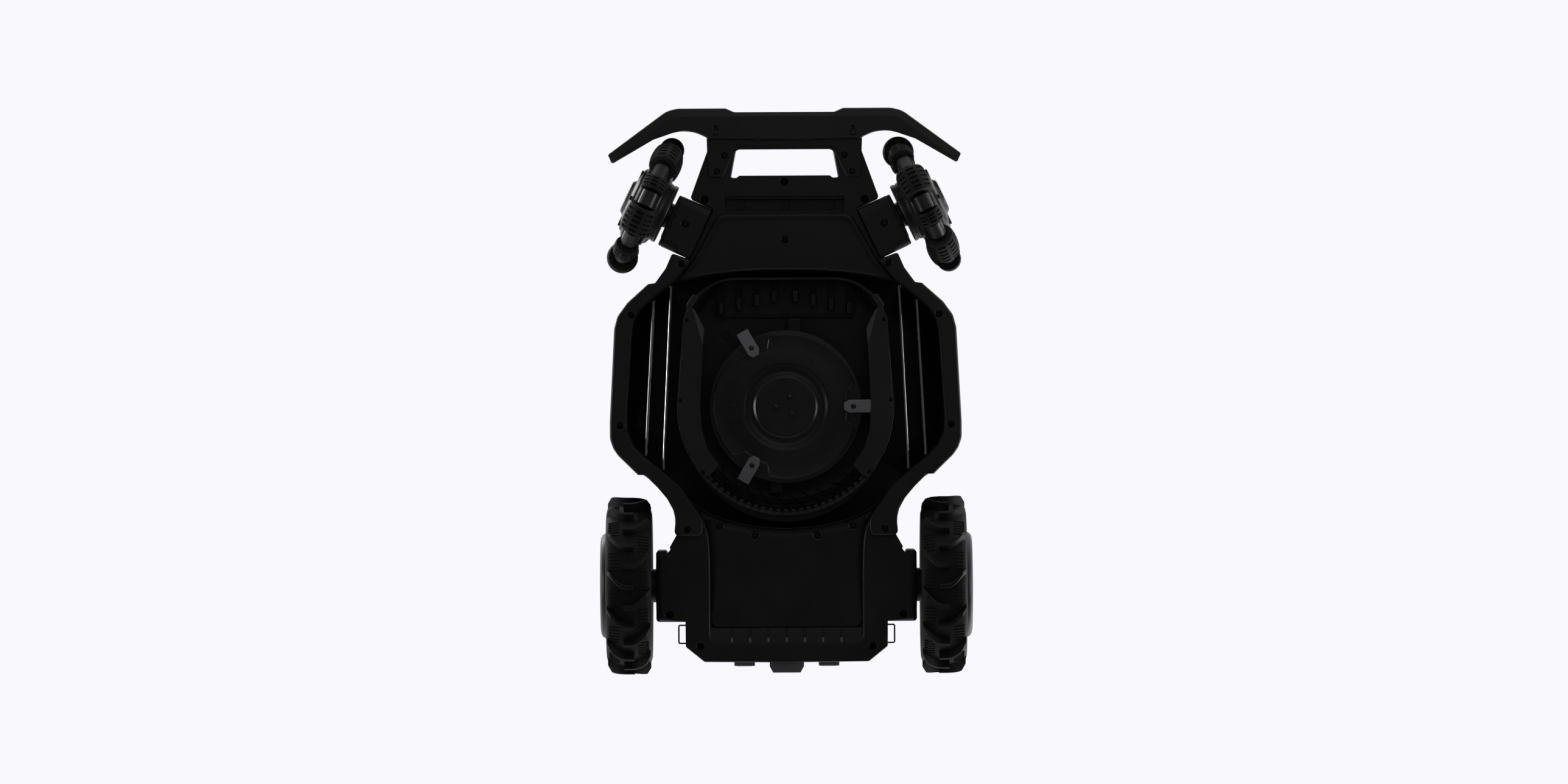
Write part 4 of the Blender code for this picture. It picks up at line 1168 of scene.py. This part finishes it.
def make_blades():
    """Three blades with a ground edge and a pivot hole; the second and third go round clockwise."""
    corners = [(100, -7.5, 0.4), (100, 7.5, 0.4), (73.5, 7.5, 1.0), (67.5, 4.0, 1.0), (67.5, -4.0, 1.0),
               (73.5, -7.5, 1.0)]
    low, high = height_of("blade_1", 0), height_of("blade_1", 1)
    for count in range(3):
        grind = at(87, 8.6, low - 0.4) @ Matrix.Rotation(math.radians(-32), 4, "X")
        hole = cylinder((BLADE_RADIUS, 0, low - 2), (BLADE_RADIUS, 0, high + 2), 3.1)
        blade = solve(soft_plate(corners, low, high, 0.45, 3), [hole, boxes([(grind, (24, 3.0, 2.0))])])
        blade.data.transform(at(0, DECK_Y, 0) @ Matrix.Rotation(-math.tau * count / 3, 4, "Z"))
        node = "blade_" + str(count + 1)
        piece(node + "_steel", blade, node, "blade", "blade_steel", [node])


make_deck()
make_lattice()
make_guards()
make_comb()
make_disc()
make_blades()


# ---------------------------------------------------------------- upper body

SHELL_LOW = height_of("upper_shell", 0)
BUTTON_Y = 70.0
# Along the shell: y, half width of the outer edge, half width of the raised middle, shoulder, crest
SHELL_STATIONS = [
    (-249, 58, 46, 180, 190), (-246, 64, 54, 184, 197), (-238, 90, 75, 192, 212),
    (-225, 100, 84, 200, 226), (-185, 106, 90, 206, 243), (-158, 116, 96, 208, 252),
    (-126, 146, 102, 208, 260), (-103, 178, 106, 206, 264), (-80, 193, 108, 204, 267),
    (-30, 198, 112, 203, 271), (30, 201, 114, 204, 272), (56, 199, 114, 205, 272),
    (74, 191, 114, 206, 272), (96, 168, 114, 208, 272), (112, 146, 112, 210, 272),
    (135, 129, 110, 212, 271), (165, 124, 106, 214, 268), (205, 122, 102, 214, 261),
    (250, 118, 98, 210, 250), (294, 112, 92, 202, 234), (306, 100, 82, 198, 227),
    (311, 88, 72, 190, 218)]

# Index of the crest among the corners of a section
CREST = 9


def shell_section(wide, middle, shoulder, crest):
    """Right half of a cross section, from its lower edge up to the crest."""
    step = wide - middle
    return [(wide - 1, SHELL_LOW), (wide, SHELL_LOW + 12), (wide, shoulder - 14),
            (wide - 0.22 * step, shoulder - 2),
            (middle + 0.28 * step, shoulder + 4), (middle, shoulder + 12), (middle - 7, crest - 14),
            (middle - 22, crest - 3), (middle - 46, crest - 0.6), (0, crest)]


def shell_point(along_shell, around):
    """A point of the shell: stations along it, and section corners up from the right edge."""
    y, *sizes = [spline([station[i] for station in SHELL_STATIONS], along_shell) for i in range(5)]
    section = shell_section(*sizes)
    x = spline([point[0] for point in section], around)
    z = spline([point[1] for point in section], around)
    return Vector((x, y, z))


def shell_panel(first, last, low, high, thickness=2.6, side=1, rows=70, columns=10):
    """A closed panel of the shell between two stations and two heights of its section."""
    bm = bmesh.new()
    outer = []
    for row in range(rows + 1):
        line = [shell_point(first + (last - first) * row / rows, low + (high - low) * column / columns)
                for column in range(columns + 1)]
        if high >= CREST:
            line += [Vector((-p.x, p.y, p.z)) for p in line[-2::-1]]
        outer.append([bm.verts.new(Vector((p.x * side, p.y, p.z)) * MM) for p in line])
    strips(bm, outer)
    bm.normal_update()
    middle = Vector((0, 30, 150)) * MM
    inner = []
    for line in outer:
        inward = [v.normal * math.copysign(1.0, (middle - v.co).dot(v.normal)) for v in line]
        inner.append([bm.verts.new(v.co + way * thickness * MM) for v, way in zip(line, inward)])
    strips(bm, inner)
    strips(bm, [round_rim(outer), round_rim(inner)])
    return mesh_object(bm)


def strips(bm, lines):
    """Faces between each line of vertices and the next."""
    for line, following in zip(lines, lines[1:]):
        for index in range(1, len(line)):
            bm.faces.new((line[index - 1], line[index], following[index], following[index - 1]))


def round_rim(lines):
    """The vertices round the edge of a grid, back to the first."""
    sides = [line[-1] for line in lines[1:-1]], [line[0] for line in lines[-2::-1]]
    return lines[0] + sides[0] + lines[-1][::-1] + sides[1]


def make_shell():
    """The hood, its two flanks, and the frame below, inside and between them."""
    last = len(SHELL_STATIONS) - 1
    button = at(0, BUTTON_Y, 0)
    hood = shell_panel(1.3, last - 0.35, 5.06, CREST)
    hood = solve(hood, [turned([(0, 250), (31, 250), (31, 290), (0, 290)], 64, button)])
    piece("hood_panel", hood, *SHELL, ["upper_shell"], angle=40)
    for label, side in SIDES.items():
        flank = shell_panel(1.3, last - 0.35, 1.56, 4.96, side=side, columns=18)
        piece(label + "_flank_panel", flank, *SHELL, ["upper_shell"], angle=40)
    bands = [shell_panel(0, last, 0.0, 1.5, side=side, columns=5) for side in SIDES.values()]
    inner = shell_panel(0.1, last - 0.1, 1.3, CREST, thickness=1.2, columns=26)
    inner.data.transform(Matrix.Translation((0, 0, -0.0026)) @ Matrix.Diagonal((0.985, 0.996, 0.997, 1.0)))
    inner = solve(inner, [turned([(0, 240), (31.6, 240), (31.6, 290), (0, 290)], 64, button)])
    collar = [(30.4, 262), (30.4, 272.4), (31.2, 273.2), (34.4, 273.2), (35.4, 272.2), (35.4, 268), (31, 262)]
    rim = turned(collar, 72, button, closed=True)
    band = joined(*bands, inner, end_panel(0, 1), end_panel(last, -1), rim)
    piece("hood_frame", band, "chassis", "frame", "shell_plastic", ["upper_shell"], angle=40)


def end_panel(index, side):
    """The flat panel that closes one end of the shell."""
    points = [shell_point(index, CREST * step / 30) for step in range(31)]
    panel = loft(mirrored([(p.x, p.z) for p in points]), [(0.6, 0), (0.3, 2.6), (3.5, 3.4), (3.5, 4.0)])
    turn = Matrix(((1, 0, 0, 0), (0, 0, side, 0), (0, 1, 0, 0), (0, 0, 0, 1)))
    panel.data.transform(at(0, SHELL_STATIONS[index][0] + side * 0.1, 0) @ turn)
    if side > 0:
        panel.data.flip_normals()
    return panel


def make_window():
    """The front sensor window: dark glass in a soft bezel, with two lenses behind it."""
    low, high = span("sensor_window")
    width, front = high.x, -low.y
    turn = Matrix(((1, 0, 0, 0), (0, 0, -1, 0), (0, 1, 0, 0), (0, 0, 0, 1)))
    outline = mirrored([(0, low.z), (width, low.z, 6), (width - 2, high.z, 6), (0, high.z)])
    glass = loft(outline, above(front, [(0, -10), (0, -1.6), (0.4, -0.6), (1.6, 0)]), steps=8)
    glass.data.transform(turn)
    piece("sensor_glass", glass, "chassis", "glass", "window_glass", ["sensor_window"])
    bezel = ring_of(outline, -3.6, 0.2, front - 3.0, front - 1.0)
    bezel.data.transform(turn)
    lens = [(0, 0.25), (0.45, 0.1), (0.55, 0.3), (0.7, 0.3), (0.76, -0.3), (1, -0.3), (1, 1.0), (0, 1.0)]
    lenses = []
    for x, radius in ((-25, 7.0), (25, 7.0), (0, 3.6)):
        place = frame_of((x, -front, (low.z + high.z) / 2), Vector((1, 0, 0)), Vector((0, 1, 0)))
        lenses.append(turned([(share * radius, height) for share, height in lens], 48, place))
    piece("sensor_bezel", joined(bezel, *lenses), "chassis", "cover", "cover_plastic")


def make_top_cover():
    """The control panel with four plain pads and a raised frame."""
    bottom, top = height_of("top_cover", 0), height_of("top_cover", 1)
    corners = mirrored([(0, -62), (62, -62, 12), (62, 24, 12), (0, 24)])
    lid = loft(corners, [(0, bottom), (0, bottom + 1.4), (0.5, top - 0.5), (1.8, top)], steps=8)
    pads = [soft_plate(capsule(x, -20.0, -8.0, 5.0), top - 0.8, top + 0.5, 0.4) for x in (-36, -12, 12, 36)]
    strip = ring_of(mirrored([(0, -50), (48, -50, 4), (48, -32, 4), (0, -32)]), 0, 1.2, top - 0.9, top + 0.15)
    piece("control_panel", joined(lid, strip), "chassis", "cover", "cover_plastic", ["top_cover"])
    piece("control_pads", joined(*pads), "chassis", "rim", "cover_plastic")


def make_stop_button():
    """A domed button with a grooved side."""
    low = height_of("stop_button", 0)
    high = height_of("stop_button", 1)
    dome = [(0, -1.6), (15, -1.2), (16, -0.4), (19, 0), (24, -0.5), (27.6, -2.2), (29.4, -5), (30, -8),
            (29.2, -9), (29.2, -11), (29.8, -11.6), (29.8, low - high), (0, low - high)]
    place = at(0, BUTTON_Y, high)
    turns = [Matrix.Rotation(math.tau * count / 36, 4, "Z") for count in range(36)]
    grips = [(place @ turn @ at(29.2, 0, -13.5), (1.2, 2.0, 3.4)) for turn in turns]
    knob = joined(turned(dome, 96, place), boxes(grips, 0.3, 1))
    piece("stop_knob", knob, "stop_button", "button", "button_plastic", ["stop_button"])


def make_tail():
    """The charge block at the rear edge, its two contacts, and the wire loops beside the body."""
    bottom, top = height_of("charge_contact", 0), height_of("charge_contact", 1)
    block = mirrored([(0, 313.6), (20, 313.6), (20, 319, 1), (16, 326.4, 1.2), (0, 326.4)])
    bars = boxes([(at(x, 316.0, 88), (24, 5.2, 26)) for x in (-49, 49)], 1.2, 3)
    block = joined(soft_plate(block, bottom, top, 1.2), bars)
    piece("charge_block", block, "chassis", "contact", "contact_plastic", ["charge_contact"])
    contacts = boxes([(at(x, 318.4, z), (18, 1.2, 6)) for x in (-49, 49) for z in (82, 94)], 0.6, 2)
    piece("charge_strips", contacts, "chassis", "brass", "polished_steel")
    corners = [(116.5, 271, 0), (125.2, 271, 1.6), (125.2, 292, 1.6), (116.5, 292, 0)]
    for label, side in SIDES.items():
        loop = wire(rounded(sided(corners, side), 5), 80.0, 0.9)
        piece(label + "_tail_loop", loop, "chassis", "screw", "polished_steel", [label + "_wire_loop"])


def wire(path, height, radius, steps=14):
    """A round wire bent along a level path."""
    turns = [math.tau * step / steps for step in range(steps)]
    rings = []
    for here, before, after in zip(path, path[:1] + path, path[1:] + path[-1:]):
        way = (Vector(after) - Vector(before)).normalized()
        sideways = Vector((way.y, -way.x, 0))
        middle = Vector((*here, height))
        rings.append([middle + radius * (sideways * math.cos(turn) - DOWN * math.sin(turn))
                      for turn in turns])
    return skin(rings)


def finish_inner_nodes():
    """The plain shapes inside keep their CAD meshes and get real materials."""
    looks = {"battery_pack": "battery", "main_board": "board", "height_motor": "motor",
             "blade_motor": "motor"}
    for node, look in looks.items():
        for slot in frame["nodes"][node].material_slots:
            slot.material = LOOKS[look]


make_shell()
make_window()
make_top_cover()
make_stop_button()
make_tail()
finish_inner_nodes()


# ---------------------------------------------------------------- stage

def make_floor():
    """A pale floor that can't be seen from below, where the main camera stands."""
    bm = bmesh.new()
    bmesh.ops.create_grid(bm, x_segments=1, y_segments=1, size=14.0)
    floor = mesh_object(bm, "floor")
    floor.location.z = -0.0005
    bpy.context.scene.collection.objects.link(floor)
    material = bpy.data.materials.new("floor_paint")
    material.use_nodes = True
    tree = material.node_tree
    shader = tree.nodes["Principled BSDF"]
    shader.inputs["Base Color"].default_value = (0.80, 0.79, 0.82, 1.0)
    shader.inputs["Roughness"].default_value = 0.7
    clear = new_node(tree, "ShaderNodeBsdfTransparent")
    side = new_node(tree, "ShaderNodeNewGeometry")
    mix_shaders(tree, side.outputs["Backfacing"], shader, clear, tree.nodes["Material Output"])
    floor.data.materials.append(material)
    floor.visible_diffuse = False
    floor.visible_glossy = False


def mix_shaders(tree, factor, first, second, output):
    """Shows the first shader where the factor is 0 and the second where it is 1."""
    mix = new_node(tree, "ShaderNodeMixShader")
    tree.links.new(factor, mix.inputs["Fac"])
    tree.links.new(first.outputs[0], mix.inputs[1])
    tree.links.new(second.outputs[0], mix.inputs[2])
    tree.links.new(mix.outputs["Shader"], output.inputs["Surface"])


def make_world():
    """A pale backdrop for the camera; the object itself is lit brighter from above than below."""
    world = bpy.data.worlds.new("studio")
    bpy.context.scene.world = world
    world.use_nodes = True
    tree = world.node_tree
    tree.nodes.clear()
    where = new_node(tree, "ShaderNodeTexCoord")
    split = new_node(tree, "ShaderNodeSeparateXYZ")
    lift = new_node(tree, "ShaderNodeMapRange", From_Min=-1.0)
    ramp = new_node(tree, "ShaderNodeValToRGB")
    light = new_node(tree, "ShaderNodeBackground")
    tree.links.new(where.outputs["Generated"], split.inputs["Vector"])
    tree.links.new(split.outputs["Z"], lift.inputs["Value"])
    tree.links.new(lift.outputs["Result"], ramp.inputs["Fac"])
    tree.links.new(ramp.outputs["Color"], light.inputs["Color"])
    stops = ramp.color_ramp.elements
    stops[0].position, stops[0].color = 0.0, (0.045, 0.045, 0.047, 1.0)
    stops[1].position, stops[1].color = 1.0, (0.9, 0.9, 0.92, 1.0)
    for position, level in ((0.30, 0.055), (0.46, 0.6), (0.60, 0.8)):
        stops.new(position).color = (level, level, level * 1.02, 1.0)
    backdrop = new_node(tree, "ShaderNodeBackground", Color=(0.947, 0.939, 0.982, 1.0))
    path = new_node(tree, "ShaderNodeLightPath")
    output = new_node(tree, "ShaderNodeOutputWorld")
    mix_shaders(tree, path.outputs["Is Camera Ray"], light, backdrop, output)


def area_light(name, place, aim, size, power):
    """A round lamp at a place, aimed at a height above the frame's origin; sizes are in metres."""
    data = bpy.data.lights.new(name, "AREA")
    data.shape = "DISK"
    data.size = size
    data.energy = power
    lamp = bpy.data.objects.new(name, data)
    lamp.location = place
    lamp.rotation_euler = (Vector((0, 0, aim)) - Vector(place)).to_track_quat("-Z", "Y").to_euler()
    bpy.context.scene.collection.objects.link(lamp)


CAMERA_ROLL = math.radians(0.28)
# In metres: the camera's depth below the floor, and the width it sees at a height above the floor
CAMERA_DISTANCE = 10.0
VIEWED_HEIGHT = 0.042
VIEW_WIDTH = 1.8135


def make_camera():
    """Straight up from below, with the front of the object at the top of the picture."""
    data = bpy.data.cameras.new("camera")
    data.sensor_width = 36.0
    data.lens = data.sensor_width * (CAMERA_DISTANCE + VIEWED_HEIGHT) / VIEW_WIDTH
    data.clip_end = 100.0
    camera = bpy.data.objects.new("camera", data)
    turn = Matrix.Rotation(CAMERA_ROLL, 4, "Z") @ Matrix.Rotation(math.pi, 4, "X")
    camera.matrix_world = Matrix.Translation((-0.0018, 0.0007, -CAMERA_DISTANCE)) @ turn
    bpy.context.scene.collection.objects.link(camera)
    bpy.context.scene.camera = camera


make_floor()
make_world()
# Name, place, height that it aims at, size and power; places and sizes in metres, power in watts
for light in (("key", (-1.6, -1.2, 1.9), 0.15, 1.4, 20), ("rim", (1.7, 1.3, 1.5), 0.15, 1.4, 14),
              ("left_low", (-1.9, 0.1, -0.5), 0.08, 1.0, 21), ("right_low", (2.2, 0.2, -0.3), 0.08, 1.0, 16),
              ("under_fill", (0.4, -1.4, -2.6), 0.05, 2.4, 4)):
    area_light(*light)
make_camera()
bpy.context.scene.view_settings.view_transform = "Standard"
